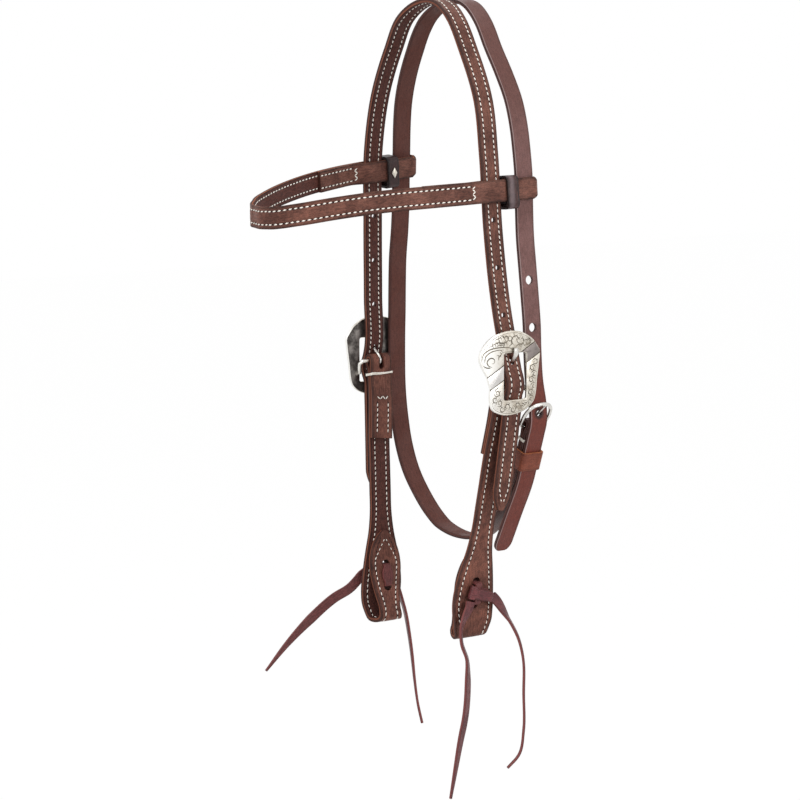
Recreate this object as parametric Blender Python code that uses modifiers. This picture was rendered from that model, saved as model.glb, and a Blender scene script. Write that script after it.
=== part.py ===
"""Western headstall: crown, browband, throatlatch, two cheeks with cart buckles, bit ties and fittings.

Metres, +Z up. The origin is where the crown rests on the poll: the middle of the crown's under side.
The horse looks along -Y, its near (left) side is +X and its off side is -X.
"""

import math

import bmesh
import bpy
from mathutils import Matrix, Vector

# Gaps and facets
seat_gap = 0.0003
bend_step = 0.024
bend_turn = math.radians(15.0)
fold_turn = math.radians(30.0)
overrun = 0.003
fold_ease = math.radians(14.0)
weld_reach = 0.00001
smooth_angle = math.radians(35.0)
strap_edge = 0.0006

# Crown strap
crown_width = 0.0159
crown_thickness = 0.0036
crown_half_span = 0.0914
crown_back = 0.0075
near_bar_drop = 0.2785
off_bar_drop = 0.2845
billet_drop = 0.104
billet_lean_in = 0.0085
billet_lean_front = 0.004
billet_point_length = 0.016
billet_end_width = 0.005
billet_point_shares = (0.12, 0.3, 0.6, 1.0)
crown_hole_diameter = 0.0042
crown_hole_pitch = 0.0360
crown_holes = 3
crown_route_shares = [
    (0.0, 0.30, 0.0),
    (0.18, 0.10, 0.012),
    (0.355, -0.20, 0.048),
    (0.532, -0.24, 0.132),
    (0.740, -0.24, 0.268),
    (0.825, -0.34, 0.408),
    (0.865, -0.12, 0.615),
    (0.925, 0.40, 0.825),
]
billet_shares = [(-0.07, 0.0), (0.0, 0.0), (0.06, 0.02), (0.3, 0.27), (0.65, 0.63), (1.0, 1.0)]

# Throatlatch
throat_width = 0.0159
throat_thickness = 0.0027
throat_half_span = 0.0920
throat_billet_draw = 0.0003
throat_back = 0.0330
throat_drop = 0.3176
throat_depth = 0.4185
throat_hole_diameter = 0.0070
throat_hole_pitch = 0.0360
throat_first_pitch = 0.0300
throat_holes = 3
throat_billet_tip_in = 0.0462
throat_billet_tip_fall = 0.1049
throat_tip_length = 0.0085
throat_tip_width = 0.0050
throat_tip_shares = (0.12, 0.4, 1.0)
throat_straight = 0.0480
throat_settled = 0.0360
throat_tail_length = 0.0460
throat_lean = math.radians(19.0)
throat_pinch = 0.0080
throat_top_shares = [
    (0.0, 0.785, 0.0),
    (0.21, 0.72, 0.009),
    (0.385, 0.65, 0.035),
    (0.545, 0.64, 0.086),
    (0.770, 0.735, 0.177),
    (0.862, 0.825, 0.300),
    (0.882, 0.835, 0.410),
    (0.932, 0.845, 0.500),
    (0.960, 0.885, 0.580),
    (0.982, 0.910, 0.680),
]
throat_billet_shares = [
    (0.987, 0.965, 0.707),
    (0.992, 1.0, 0.725),
]
throat_off_shares = [
    (0.965, 0.915, 0.760),
    (0.785, 0.955, 0.896),
    (0.545, 1.0, 0.957),
    (0.38, 1.03, 0.985),
    (0.18, 1.05, 0.998),
]
throat_near_shares = [
    (0.0, 1.05, 1.0),
    (0.217, 1.04, 0.992),
    (0.39, 1.01, 0.968),
    (0.52, 0.99, 0.936),
    (0.65, 0.975, 0.900),
]

# Throatlatch buckle, keeper and thread
throat_bar_radius = 0.0015
throat_bow_half_width = 0.0116
throat_bow_height = 0.0190
throat_bow_tilt = math.radians(36.0)
throat_tongue_radius = 0.0010
throat_tongue_angle = math.radians(53.0)
throat_tongue_rise = 0.0150
throat_slot_width = 0.0050
throat_slot_reach = 0.0105
throat_bow_shares = [
    (1.0, 0.0),
    (1.05, 0.22),
    (1.03, 0.48),
    (0.90, 0.74),
    (0.62, 0.93),
    (0.22, 1.0),
]
throat_thread_drop = 0.0128
throat_keeper_drop = 0.0290
throat_keeper_height = 0.0150
throat_keeper_wall = 0.0019
throat_keeper_corner = 0.0020
throat_billet_gap = 0.0017

# Browband
browband_width = 0.0166
browband_thickness = 0.0027
browband_inside_gap = 0.0007
browband_outside_gap = 0.0012
browband_end_gap = 0.0006
browband_reach = 0.1570
browband_droop = 0.0120
browband_droop_power = 2.8
near_browband_slope = 0.037
off_browband_slope = 0.086
near_browband_drop = 0.1400
off_browband_drop = 0.1325
browband_seam = 0.0210
browband_tail_reach = 0.0600
browband_corner = 0.0030
browband_ease = 0.0800
browband_side_shares = [
    (0.985, -0.14),
    (0.90, -0.34),
    (0.74, -0.57),
    (0.54, -0.78),
    (0.36, -0.915),
    (0.18, -0.985),
    (0.0, -1.0),
]

# Browband keepers and staples
keeper_wall = 0.0022
keeper_length = 0.0104
keeper_top_gap = 0.0004
keeper_bottom_gap = 0.0040
keeper_corner = 0.0024
staple_width = 0.0052
staple_height = 0.0086
staple_thickness = 0.0008

# Cart buckle
bar_radius = 0.0016
plate_thickness = 0.0024
plate_edge = 0.0005
plate_half_width = 0.0290
plate_rise = 0.0345
plate_fall = 0.0295
opening_front = 0.0100
opening_back = 0.0112
opening_rise = 0.0175
opening_fall = 0.0180
opening_corner = 0.0016
bar_reach_front = 0.0165
bar_reach_back = 0.0118
bar_bend = 0.0015
bar_stand = 0.00225
bar_foot_front = 0.0140
bar_foot_back = 0.0124
bar_foot_drop = 0.0115
groove_width = 0.0008
groove_depth = 0.0006
groove_length = 0.116
band_slope = math.radians(29.0)
band_centre_rise = 0.0090
band_half_width = 0.0049
crest_shares = [
    (-0.90, 0.03),
    (-1.07, 0.26),
    (-1.15, 0.42),
    (-1.11, 0.57),
    (-0.96, 0.74),
    (-0.68, 0.905),
    (-0.40, 0.975),
    (-0.10, 1.0),
    (0.20, 0.965),
    (0.45, 0.875),
    (0.62, 0.775),
]
flank_shares = [
    (0.815, 0.555),
    (0.840, 0.480),
]
base_shares = [
    (0.800, 0.20),
    (0.745, -0.12),
    (0.700, -0.50),
    (0.640, -0.68),
    (0.480, -0.83),
    (0.20, -0.95),
    (-0.12, -1.0),
    (-0.46, -0.96),
    (-0.72, -0.83),
    (-0.80, -0.64),
    (-0.79, -0.28),
]

# Cart buckle tongue
tongue_radius = 0.0011
tongue_angle = math.radians(49.0)
tongue_tip_rise = 0.0215
tongue_hole_diameter = 0.0039
tongue_curl = math.radians(170.0)

# Cheeks
cheek_width = 0.0190
cheek_thickness = 0.0034
cheek_drop = 0.2065
cheek_lean_in = 0.0305
cheek_lean_front = 0.0138
cheek_tail_length = 0.0620
cheek_slot_width = 0.0050
cheek_slot_reach = 0.0125
cheek_pinch = 0.0085
cheek_closed = 0.0136
bit_loop_gap = 0.0085
bit_seat_width = 0.0036
bit_end_length = 0.0900
bit_end_width = 0.0372
leaf_length = 0.0715
leaf_width = 0.0290
leaf_tip_width = 0.0030
lace_hole_diameter = 0.0072
lower_hole_rise = 0.0275
upper_hole_rise = 0.0450
loop_shares = [
    (0.20, 1.0),
    (0.30, 0.72),
    (0.42, 0.38),
    (0.55, 0.15),
    (0.70, 0.04),
    (0.88, 0.0),
]
cheek_end_shares = [
    (0.0, 0.511),
    (0.17, 0.60),
    (0.36, 0.80),
    (0.52, 0.94),
    (0.66, 1.0),
    (0.80, 0.95),
    (0.90, 0.85),
    (1.0, 0.68),
]
leaf_shares = [
    (0.0, 0.872),
    (0.08, 0.72),
    (0.17, 0.65),
    (0.25, 0.69),
    (0.38, 0.82),
    (0.525, 0.945),
    (0.62, 1.0),
    (0.76, 0.92),
    (0.885, 0.67),
    (0.957, 0.38),
    (1.0, 0.103),
]

# Thread ties
thread_radius = 0.00045
thread_drop = 0.0108
thread_pitch = 0.0014
thread_turns = 2
thread_corner = 0.0010
thread_apart = 0.0060

# Bit tie laces
lace_width = 0.0095
lace_thickness = 0.0021
lace_hole_width = 0.0056
lace_hole_shift = 0.0007
lace_bend = 0.0016
lace_end_gap = 0.0008
knot_rise = 0.0354
knot_height = 0.0105
knot_back = 0.0030
knot_wall = 0.0021
knot_half_width = 0.0090
knot_corner = 0.0016
knot_hollow_corner = 0.0014
knot_slope = math.radians(16.0)
knot_slack = 0.0003
knot_seat_share = 0.7
lace_root_width = 0.0078
lace_tip_length = 0.055
lace_tip_width = 0.0014
lace_tip_shares = (0.15, 0.5, 1.0)
lace_flat_shares = [(0.0, 0.0), (0.19, 0.0), (0.81, 1.0), (1.0, 1.0)]

# Free ends of the laces, chosen by hand
near_front_tail_route = [
    (0.0680, -0.0130, -0.4540),
    (0.0683, -0.0143, -0.4584),
    (0.0686, -0.0178, -0.4638),
    (0.0686, -0.0216, -0.4715),
    (0.0680, -0.0216, -0.4840),
    (0.0670, -0.0154, -0.4998),
    (0.0660, -0.0140, -0.5120),
    (0.0650, -0.0151, -0.5428),
    (0.0630, -0.0190, -0.5656),
    (0.0610, -0.0217, -0.5860),
    (0.0590, -0.0251, -0.6095),
]
near_back_tail_route = [
    (0.0680, 0.0094, -0.4534),
    (0.0684, 0.0122, -0.4566),
    (0.0686, 0.0170, -0.4630),
    (0.0690, 0.0234, -0.4725),
    (0.0700, 0.0326, -0.4898),
    (0.0710, 0.0357, -0.5031),
    (0.0720, 0.0359, -0.5334),
    (0.0720, 0.0359, -0.5619),
    (0.0700, 0.0331, -0.5813),
    (0.0680, 0.0234, -0.5909),
]
off_front_tail_route = [
    (-0.0680, -0.0160, -0.4527),
    (-0.0687, -0.0194, -0.4547),
    (-0.0698, -0.0232, -0.4590),
    (-0.0720, -0.0290, -0.4651),
    (-0.0780, -0.0397, -0.4726),
    (-0.0840, -0.0591, -0.4887),
    (-0.0880, -0.0782, -0.5065),
    (-0.0900, -0.0980, -0.5270),
]
off_back_tail_route = [
    (-0.0680, 0.0094, -0.4594),
    (-0.0684, 0.0122, -0.4626),
    (-0.0682, 0.0156, -0.4698),
    (-0.0670, 0.0181, -0.4789),
    (-0.0660, 0.0209, -0.4895),
    (-0.0655, 0.0243, -0.5072),
    (-0.0645, 0.0263, -0.5235),
    (-0.0635, 0.0285, -0.5470),
    (-0.0620, 0.0309, -0.5674),
    (-0.0610, 0.0344, -0.5836),
]

# Colours
harness_brown = (0.105, 0.043, 0.034)
throat_brown = (0.125, 0.048, 0.043)
lace_red = (0.160, 0.040, 0.045)
keeper_brown = (0.045, 0.018, 0.018)
tan_brown = (0.235, 0.070, 0.030)
thread_cream = (0.800, 0.740, 0.620)
silver_grey = (0.560, 0.520, 0.450)
nickel_grey = (0.620, 0.600, 0.560)

# Worked out from the sizes above
fold_mid = bar_radius + seat_gap + cheek_thickness / 2
fold_outer = bar_radius + seat_gap + cheek_thickness
billet_out = fold_outer + seat_gap + crown_thickness / 2
plate_back = billet_out + crown_thickness / 2 + seat_gap
bar_half_span = crown_half_span - billet_out
cheek_pitch = cheek_thickness + seat_gap
cheek_lean = math.atan2(cheek_lean_in, cheek_drop)
loop_radius = (bit_loop_gap + cheek_thickness) / 2
throat_fold_mid = throat_bar_radius + seat_gap + throat_thickness / 2
throat_fold_outer = throat_bar_radius + seat_gap + throat_thickness
throat_pitch = throat_thickness + seat_gap
throat_billet_out = throat_fold_outer + seat_gap + throat_thickness / 2
throat_run_out = throat_pitch / 2 + throat_thickness + throat_billet_gap
throat_near_span = throat_half_span - throat_billet_draw
throat_bar = Vector((throat_near_span - throat_billet_out, throat_back, -throat_drop))
bars = {
    1.0: Vector((bar_half_span, crown_back, -near_bar_drop)),
    -1.0: Vector((-bar_half_span, crown_back, -off_bar_drop)),
}
side_names = {1.0: "near", -1.0: "off"}


def clear_scene():
    for item in list(bpy.data.objects):
        bpy.data.objects.remove(item, do_unlink=True)


def new_collection(name, hidden=False):
    collection = bpy.data.collections.new(name)
    collection.hide_render = hidden
    bpy.context.scene.collection.children.link(collection)
    return collection


def make_material(name, colour, roughness, metallic):
    material = bpy.data.materials.new(name)
    material.use_nodes = True
    shader = material.node_tree.nodes["Principled BSDF"]
    shader.inputs["Base Color"].default_value = (*colour, 1.0)
    shader.inputs["Roughness"].default_value = roughness
    shader.inputs["Metallic"].default_value = metallic
    material.diffuse_color = (*colour, 1.0)
    return material


def place_object(name, mesh, collection, material, location=(0.0, 0.0, 0.0)):
    """Links the finished mesh. Rounded faces are shaded smooth and cut edges stay sharp."""
    mesh.materials.clear()
    mesh.materials.append(material)
    mesh.name = name
    mesh.shade_smooth()
    mesh.set_sharp_from_angle(angle=smooth_angle)
    item = bpy.data.objects.new(name, mesh)
    item.location = location
    collection.objects.link(item)
    return item


def mirrored(mesh, side):
    """The mesh as it is for the near side, or turned over for the off side."""
    if side < 0:
        mesh.transform(Matrix.Scale(-1.0, 4, (1.0, 0.0, 0.0)))
        mesh.flip_normals()
    return mesh


def guide_object(name, data):
    guide = bpy.data.objects.new(name, data)
    bpy.context.scene.collection.objects.link(guide)
    return guide


def evaluated_mesh(item):
    graph = bpy.context.evaluated_depsgraph_get()
    graph.update()
    return bpy.data.meshes.new_from_object(item.evaluated_get(graph))


def triangulate(mesh):
    shape = bmesh.new()
    shape.from_mesh(mesh)
    bmesh.ops.triangulate(shape, faces=shape.faces)
    shape.to_mesh(mesh)
    shape.free()
    return mesh


def weld(mesh):
    shape = bmesh.new()
    shape.from_mesh(mesh)
    bmesh.ops.remove_doubles(shape, verts=shape.verts, dist=weld_reach)
    bmesh.ops.recalc_face_normals(shape, faces=shape.faces)
    shape.to_mesh(mesh)
    shape.free()
    return mesh


def combine(item, others, operation):
    """The item's mesh after a Boolean with each of the others. All of them are guides and go."""
    for other in others:
        step = item.modifiers.new(other.name, "BOOLEAN")
        step.object = other
        step.operation = operation
        step.solver = "EXACT"
    mesh = evaluated_mesh(item)
    for guide in [item, *others]:
        bpy.data.objects.remove(guide, do_unlink=True)
    return mesh


def smooth_run(points, steps=8):
    """A smooth curve through the points, in short steps. Near points bend it less than far ones."""
    places = [Vector(point) for point in points]
    spans = [after - before for before, after in zip(places, places[1:])]
    ways = [spans[0].normalized()]
    for before, after in zip(spans, spans[1:]):
        near, far = before.length, after.length
        ways.append((before * far / near + after * near / far) / (near + far))
    ways.append(spans[-1].normalized())
    run = []
    for index, span in enumerate(spans):
        reach = span.length
        first, last = ways[index] * reach, ways[index + 1] * reach
        for step in range(steps):
            t = step / steps
            bend = 3 * span - 2 * first - last
            twist = first + last - 2 * span
            run.append(places[index] + first * t + bend * t**2 + twist * t**3)
    run.append(places[-1])
    return run


def arc_run(centre, radius, start, end, turn=fold_turn):
    """Points in a plane on an arc, in even turns."""
    steps = max(2, math.ceil(abs(end - start) / turn))
    angles = [start + (end - start) * step / steps for step in range(steps + 1)]
    return [(centre[0] + radius * math.cos(a), centre[1] + radius * math.sin(a)) for a in angles]


def thin_out(run, longest=bend_step, sharpest=bend_turn):
    """Keeps the stations where the run has turned or gone far enough."""
    kept = [run[0]]
    for index in range(1, len(run) - 1):
        here = run[index] - kept[-1]
        ahead = run[index + 1] - run[index]
        if here.length < weld_reach or ahead.length < weld_reach:
            continue
        reach = (run[index + 1] - kept[-1]).length
        if reach > longest or here.angle(ahead) > sharpest / 2:
            kept.append(run[index])
    kept.append(run[-1])
    return kept


def lengths_along(run):
    total = [0.0]
    for before, after in zip(run, run[1:]):
        total.append(total[-1] + (after - before).length)
    return total


def frames_along(run, across_at):
    """A section frame at each station: its place, across the strap, and out of the grain side."""
    frames = []
    last = len(run) - 1
    for index, place in enumerate(run):
        ahead = run[min(index + 1, last)] - run[min(index, last - 1)]
        behind = run[max(index, 1)] - run[max(index - 1, 0)]
        tangent = (ahead.normalized() + behind.normalized()).normalized()
        wanted = across_at(place)
        across = (wanted - wanted.dot(tangent) * tangent).normalized()
        frames.append((place, across, tangent.cross(across)))
    return frames


def mark_near(run, target):
    """Distance along the run of the place nearest to the target."""
    lengths = lengths_along(run)
    best_gap, best_mark = None, 0.0
    for index in range(len(run) - 1):
        step = run[index + 1] - run[index]
        share = min(max((target - run[index]).dot(step) / step.length_squared, 0.0), 1.0)
        gap = (run[index] + step * share - target).length
        if best_gap is None or gap < best_gap:
            best_gap, best_mark = gap, lengths[index] + share * step.length
    return best_mark


def interpolate(table, share):
    for (a, first), (b, last) in zip(table, table[1:]):
        if share <= b:
            return first + (last - first) * (share - a) / (b - a)
    return table[-1][1]


def place_at(run, mark):
    lengths = lengths_along(run)
    index = min(max(sum(length <= mark for length in lengths) - 1, 0), len(run) - 2)
    share = (mark - lengths[index]) / (lengths[index + 1] - lengths[index])
    return run[index].lerp(run[index + 1], share)


def add_marks(run, wanted):
    """Puts further stations in the run at the wanted distances along it."""
    lengths = lengths_along(run)
    marks = list(lengths)
    for mark in wanted:
        if 0 < mark < lengths[-1] and all(abs(mark - other) > seat_gap for other in marks):
            marks.append(mark)
    return [place_at(run, mark) for mark in sorted(marks)]


def round_rectangle(half_x, half_y, corner, centre=(0.0, 0.0)):
    outline = []
    for number, (x, y) in enumerate(((1, 1), (-1, 1), (-1, -1), (1, -1))):
        middle = (centre[0] + x * (half_x - corner), centre[1] + y * (half_y - corner))
        start = number * math.pi / 2
        outline += arc_run(middle, corner, start, start + math.pi / 2)
    return outline


def outline_plate(name, outlines, thickness, edge):
    """A flat plate from closed outlines: the first is its rim and the rest are openings."""
    curve = bpy.data.curves.new(name, "CURVE")
    curve.dimensions = "2D"
    curve.fill_mode = "BOTH"
    curve.extrude = thickness / 2 - edge
    curve.bevel_depth = edge
    curve.bevel_resolution = 0
    curve.offset = -edge
    for outline in outlines:
        spline = curve.splines.new("POLY")
        spline.points.add(len(outline) - 1)
        for point, (x, y) in zip(spline.points, outline):
            point.co = (x, y, 0.0, 1.0)
        spline.use_cyclic_u = True
    guide = guide_object(name, curve)
    mesh = weld(evaluated_mesh(guide))
    bpy.data.objects.remove(guide, do_unlink=True)
    return mesh


def tube_mesh(name, points, radius, resolution=2, closed=False):
    """A wire: a bevelled curve along the points, with its caps welded on."""
    curve = bpy.data.curves.new(name, "CURVE")
    curve.dimensions = "3D"
    curve.bevel_depth = radius
    curve.bevel_resolution = resolution
    curve.use_fill_caps = not closed
    spline = curve.splines.new("POLY")
    spline.points.add(len(points) - 1)
    for point, place in zip(spline.points, points):
        point.co = (*place, 1.0)
    spline.use_cyclic_u = closed
    guide = guide_object(name, curve)
    mesh = weld(evaluated_mesh(guide))
    bpy.data.objects.remove(guide, do_unlink=True)
    return mesh


def hole_cutter(name, mark, radius, depth, lean=0.0, across=0.0):
    bpy.ops.mesh.primitive_cylinder_add(
        vertices=16,
        radius=radius,
        depth=depth,
        location=(mark, across, 0.0),
        rotation=(0.0, lean, 0.0),
    )
    cutter = bpy.context.object
    cutter.name = name
    cutter.hide_render = True
    cutter.display_type = "WIRE"
    return cutter


def slot_cutter(name, start, end, half_width, depth):
    """A slot along the strap with round ends."""
    outline = arc_run((end - half_width, 0.0), half_width, -math.pi / 2, math.pi / 2)
    outline += arc_run((start + half_width, 0.0), half_width, math.pi / 2, 3 * math.pi / 2)
    cutter = guide_object(name, outline_plate(name, [outline], depth, 0.0))
    cutter.hide_render = True
    cutter.display_type = "WIRE"
    return cutter


def flat_strap(name, marks, half_width_at, thickness, cutters):
    """The strap as it is cut on the bench: a row at each mark, chamfered edges, then its holes."""
    bpy.ops.mesh.primitive_grid_add(x_subdivisions=len(marks) - 1, y_subdivisions=1, size=1.0)
    strip = bpy.context.object
    strip.name = name
    rows = sorted({round(vertex.co.x, 6) for vertex in strip.data.vertices})
    for vertex in strip.data.vertices:
        mark = marks[rows.index(round(vertex.co.x, 6))]
        side = math.copysign(1.0, vertex.co.y)
        vertex.co = (mark, side * half_width_at(mark), 0.0)
    solid = strip.modifiers.new("thickness", "SOLIDIFY")
    solid.thickness = thickness
    solid.offset = 0.0
    cut_edge = strip.modifiers.new("cut_edge", "BEVEL")
    cut_edge.width = strap_edge
    cut_edge.segments = 1
    cut_edge.limit_method = "ANGLE"
    cut_edge.angle_limit = math.radians(50.0)
    return triangulate(combine(strip, cutters, "DIFFERENCE"))


def lay_along(mesh, marks, frames):
    """Bends the flat strap onto its stations."""
    shape = bmesh.new()
    shape.from_mesh(mesh)
    for vertex in shape.verts:
        along, across, out = vertex.co
        index = min(max(sum(mark <= along for mark in marks) - 1, 0), len(marks) - 2)
        share = (along - marks[index]) / (marks[index + 1] - marks[index])
        share = min(max(share, 0.0), 1.0)
        here, there = frames[index], frames[index + 1]
        place = here[0].lerp(there[0], share)
        side = here[1].lerp(there[1], share)
        face = here[2].lerp(there[2], share)
        vertex.co = place + side * across + face * out
    shape.to_mesh(mesh)
    shape.free()
    return mesh


def strap_mesh(name, run, across_at, half_width_at, thickness, cutters=()):
    marks = lengths_along(run)
    mesh = flat_strap(name, marks, half_width_at, thickness, cutters)
    return lay_along(mesh, marks, frames_along(run, across_at))


def straight_back(place):
    return Vector((0.0, 1.0, 0.0))


def crown_run():
    """Mid-thickness of the crown, from the off tip over the poll to the near tip."""
    halves = {}
    for side, bar in bars.items():
        points = [
            Vector((side * x * crown_half_span, y * crown_back, z * bar.z + crown_thickness / 2))
            for x, y, z in crown_route_shares
        ]
        for share, lean in billet_shares:
            out = billet_out - billet_lean_in * lean
            drop = Vector((side * out, -billet_lean_front * lean, -billet_drop * share))
            points.append(bar + drop)
        halves[side] = points
    route = list(reversed(halves[-1.0])) + halves[1.0][1:]
    run = thin_out(smooth_run(route))
    held = [halves[side][len(crown_route_shares) + step] for side in bars for step in (0, 1, 2)]
    return add_marks(run, [mark_near(run, place) for place in held])


def tongue_line(radius, wire, angle):
    """A tongue's curl round its bar: where its shank leaves the curl, and the shank's heading."""
    ring = radius + seat_gap + wire
    start = Vector((-ring * math.cos(angle), ring * math.sin(angle)))
    return ring, start, Vector((math.sin(angle), math.cos(angle)))


def strap_crossing(run, bar, side, start, heading):
    """Where a tongue's shank meets the strap's middle: distance along the run, and its lean."""
    lengths = lengths_along(run)
    for index in range(len(run) - 1):
        ends = [run[index] - bar, run[index + 1] - bar]
        first, last = [Vector((side * end.x, end.z)) for end in ends]
        way = last - first
        spread = heading.x * way.y - heading.y * way.x
        gap = first - start
        if abs(spread) < weld_reach**2 or max(ends[0].z, ends[1].z) < 0:
            continue
        share = (gap.y * heading.x - gap.x * heading.y) / -spread
        reach = (gap.x * way.y - gap.y * way.x) / spread
        if 0 <= share <= 1 and 0 < reach < plate_rise:
            mark = lengths[index] + share * way.length
            up = way if way.y > 0 else -way
            lean = math.pi / 2 - heading.angle(up)
            return mark, lean if way.y > 0 else -lean
    return None, None


def crown_at(side, drop, run):
    """The strap's middle at a given depth below the poll on one side."""
    for before, after in zip(run, run[1:]):
        if before.x * side > 0 and after.x * side > 0 and (before.z + drop) * (after.z + drop) <= 0:
            share = (-drop - before.z) / (after.z - before.z)
            return before.lerp(after, share), (after - before).normalized()
    return None, None


def pointed(length, half_width, tip_length, tip_half_width):
    """Both ends narrow to a point in a round sweep."""

    def half_width_at(mark):
        reach = min(mark, length - mark)
        share = min(reach / tip_length, 1.0)
        return tip_half_width + (half_width - tip_half_width) * math.sin(share * math.pi / 2)

    return half_width_at


def build_crown(collection, material):
    run = crown_run()
    length = lengths_along(run)[-1]
    steps = [billet_point_length * share for share in billet_point_shares]
    run = add_marks(run, steps + [length - step for step in steps])
    _, start, heading = tongue_line(bar_radius, tongue_radius, tongue_angle)
    cutters = []
    for side, bar in bars.items():
        held, lean = strap_crossing(run, bar, side, start, heading)
        across = bar.y - place_at(run, held).y
        reach = crown_thickness + 2 * overrun
        radius = tongue_hole_diameter / 2
        cutters.append(hole_cutter("held_hole", held, radius, reach, lean, across))
        for number in range(1, crown_holes + 1):
            mark = held - side * number * crown_hole_pitch
            cutters.append(hole_cutter("spare_hole", mark, crown_hole_diameter / 2, reach))
    widths = pointed(length, crown_width / 2, billet_point_length, billet_end_width / 2)
    mesh = strap_mesh("crown_strap", run, straight_back, widths, crown_thickness, cutters)
    place_object("crown_strap", mesh, collection, material)
    return run


def cheek_middle(drop):
    """The middle between a cheek's two plies at a depth below the bar, as (out, back)."""
    share = drop / cheek_drop
    level = cheek_drop - leaf_length / 3
    back = min(drop, level) / level
    return -cheek_lean_in * share, -cheek_lean_front * back * min(drop / cheek_tail_length, 1.0)


def ply_place(drop, ply, apart=cheek_pitch):
    """A place on the outer ply (1) or inner ply (-1), from the bar."""
    out, back = cheek_middle(drop)
    return Vector((out + ply * apart / 2, back, -drop))


def loop_apart(rise):
    """How far apart the plies of the bit end are at a height above its bottom."""
    share = rise / leaf_length
    return cheek_pitch + interpolate(loop_shares, share) * (2 * loop_radius - cheek_pitch)


def cheek_run():
    """Mid-thickness of a cheek: up the inner tail, over the bar, down, and up into the leaf."""
    run = [ply_place(cheek_tail_length, -1), ply_place(cheek_tail_length / 2, -1)]
    run.append(ply_place(cheek_closed, -1))
    run.append(ply_place(cheek_pinch, -1))
    for out, up in arc_run((0.0, 0.0), fold_mid, math.pi + fold_ease, -fold_ease):
        run.append(Vector((out, 0.0, up)))
    run.append(ply_place(cheek_pinch, 1))
    run.append(ply_place(cheek_closed, 1))
    run.append(ply_place(cheek_tail_length / 2, 1))
    run.append(ply_place(cheek_tail_length, 1))
    straight = cheek_drop - bit_end_length
    for share in (0.5, 1.0):
        drop = cheek_tail_length + (straight - cheek_tail_length) * share
        run.append(ply_place(drop, 1))
    rises = [share * leaf_length for share, _ in loop_shares]
    for rise in reversed(rises):
        run.append(ply_place(cheek_drop - rise, 1, loop_apart(rise)))
    corner = loop_radius - bit_seat_width / 2
    centre_up = corner + cheek_thickness / 2 - cheek_drop
    out, back = cheek_middle(cheek_drop)
    half_flat = bit_seat_width / 2
    for x, z in arc_run((out + half_flat, centre_up), corner, 0.0, -math.pi / 2):
        run.append(Vector((x, back, z)))
    for x, z in arc_run((out - half_flat, centre_up), corner, -math.pi / 2, -math.pi):
        run.append(Vector((x, back, z)))
    for rise in rises:
        run.append(ply_place(cheek_drop - rise, -1, loop_apart(rise)))
    tip = ply_place(cheek_drop - leaf_length, -1)
    run.append(run[-1].lerp(tip, 0.5))
    run.append(tip)
    return run


def cheek_width_at(bottom, length):
    def half_width_at(mark):
        if mark < bottom - bit_end_length:
            return cheek_width / 2
        if mark < bottom:
            share = 1.0 - (bottom - mark) / bit_end_length
            return interpolate(cheek_end_shares, share) * bit_end_width / 2
        share = (mark - bottom) / (length - bottom)
        return interpolate(leaf_shares, share) * leaf_width / 2

    return half_width_at


def build_cheek(side, collection, material):
    run = cheek_run()
    bottom_place = Vector((cheek_middle(cheek_drop)[0], cheek_middle(cheek_drop)[1], -cheek_drop))
    bottom = mark_near(run, bottom_place)
    length = lengths_along(run)[-1]
    wanted = [bottom - bit_end_length * (1.0 - share) for share, _ in cheek_end_shares[:-1]]
    wanted += [bottom + (length - bottom) * share for share, _ in leaf_shares[1:-1]]
    run = add_marks(run, wanted)
    top = mark_near(run, Vector((0.0, 0.0, fold_mid)))
    depth = cheek_thickness + 2 * overrun
    half_slot = cheek_slot_width / 2
    cutters = [slot_cutter("slot", top - cheek_slot_reach, top + cheek_slot_reach, half_slot, depth)]
    for rise in (lower_hole_rise, upper_hole_rise):
        for ply in (1, -1):
            hole = mark_near(run, ply_place(cheek_drop - rise, ply, loop_apart(rise)))
            cutters.append(hole_cutter("lace_hole", hole, lace_hole_diameter / 2, depth))
    name = f"{side_names[side]}_cheek"
    widths = cheek_width_at(bottom, length)
    mesh = strap_mesh(name, run, straight_back, widths, cheek_thickness, cutters)
    place_object(name, mirrored(mesh, side), collection, material, bars[side])


def least_gap(points, steps=4):
    """The least distance between two places of a winding that lie far apart along it."""
    fine = []
    for before, after in zip(points, points[1:]):
        fine += [before.lerp(after, step / steps) for step in range(steps)]
    marks = lengths_along(fine)
    least = None
    for index, here in enumerate(fine):
        for other in range(index + 1, len(fine)):
            if marks[other] - marks[index] < thread_apart:
                continue
            gap = (fine[other] - here).length
            least = gap if least is None else min(least, gap)
    return least


def wound_thread(name, half_out, half_back, centre, down):
    """Two turns of thread round a stack of straps, in one unbroken length."""
    ring = round_rectangle(half_out, half_back, thread_corner)
    out = Vector((-down.z, 0.0, down.x))
    count = len(ring)
    points = []
    for step in range(thread_turns * count):
        x, y = ring[step % count]
        along = thread_pitch * (step / count - thread_turns / 2)
        points.append(centre + out * x + Vector((0.0, y, 0.0)) + down * along)
    gap = least_gap(points) - 2 * thread_radius
    print(f"{name}: least gap between its turns {gap:.5f} m")
    return tube_mesh(name, points, thread_radius, resolution=1)


def build_cheek_thread(side, collection, material):
    name = f"{side_names[side]}_cheek_thread"
    out, back = cheek_middle(thread_drop)
    down = Vector((-math.sin(cheek_lean), 0.0, -math.cos(cheek_lean)))
    clear = seat_gap + thread_radius
    half_out = cheek_pitch / 2 + cheek_thickness / 2 + clear
    half_back = cheek_width / 2 + clear
    mesh = wound_thread(name, half_out, half_back, Vector((out, back, -thread_drop)), down)
    place_object(name, mirrored(mesh, side), collection, material, bars[side])


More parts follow.
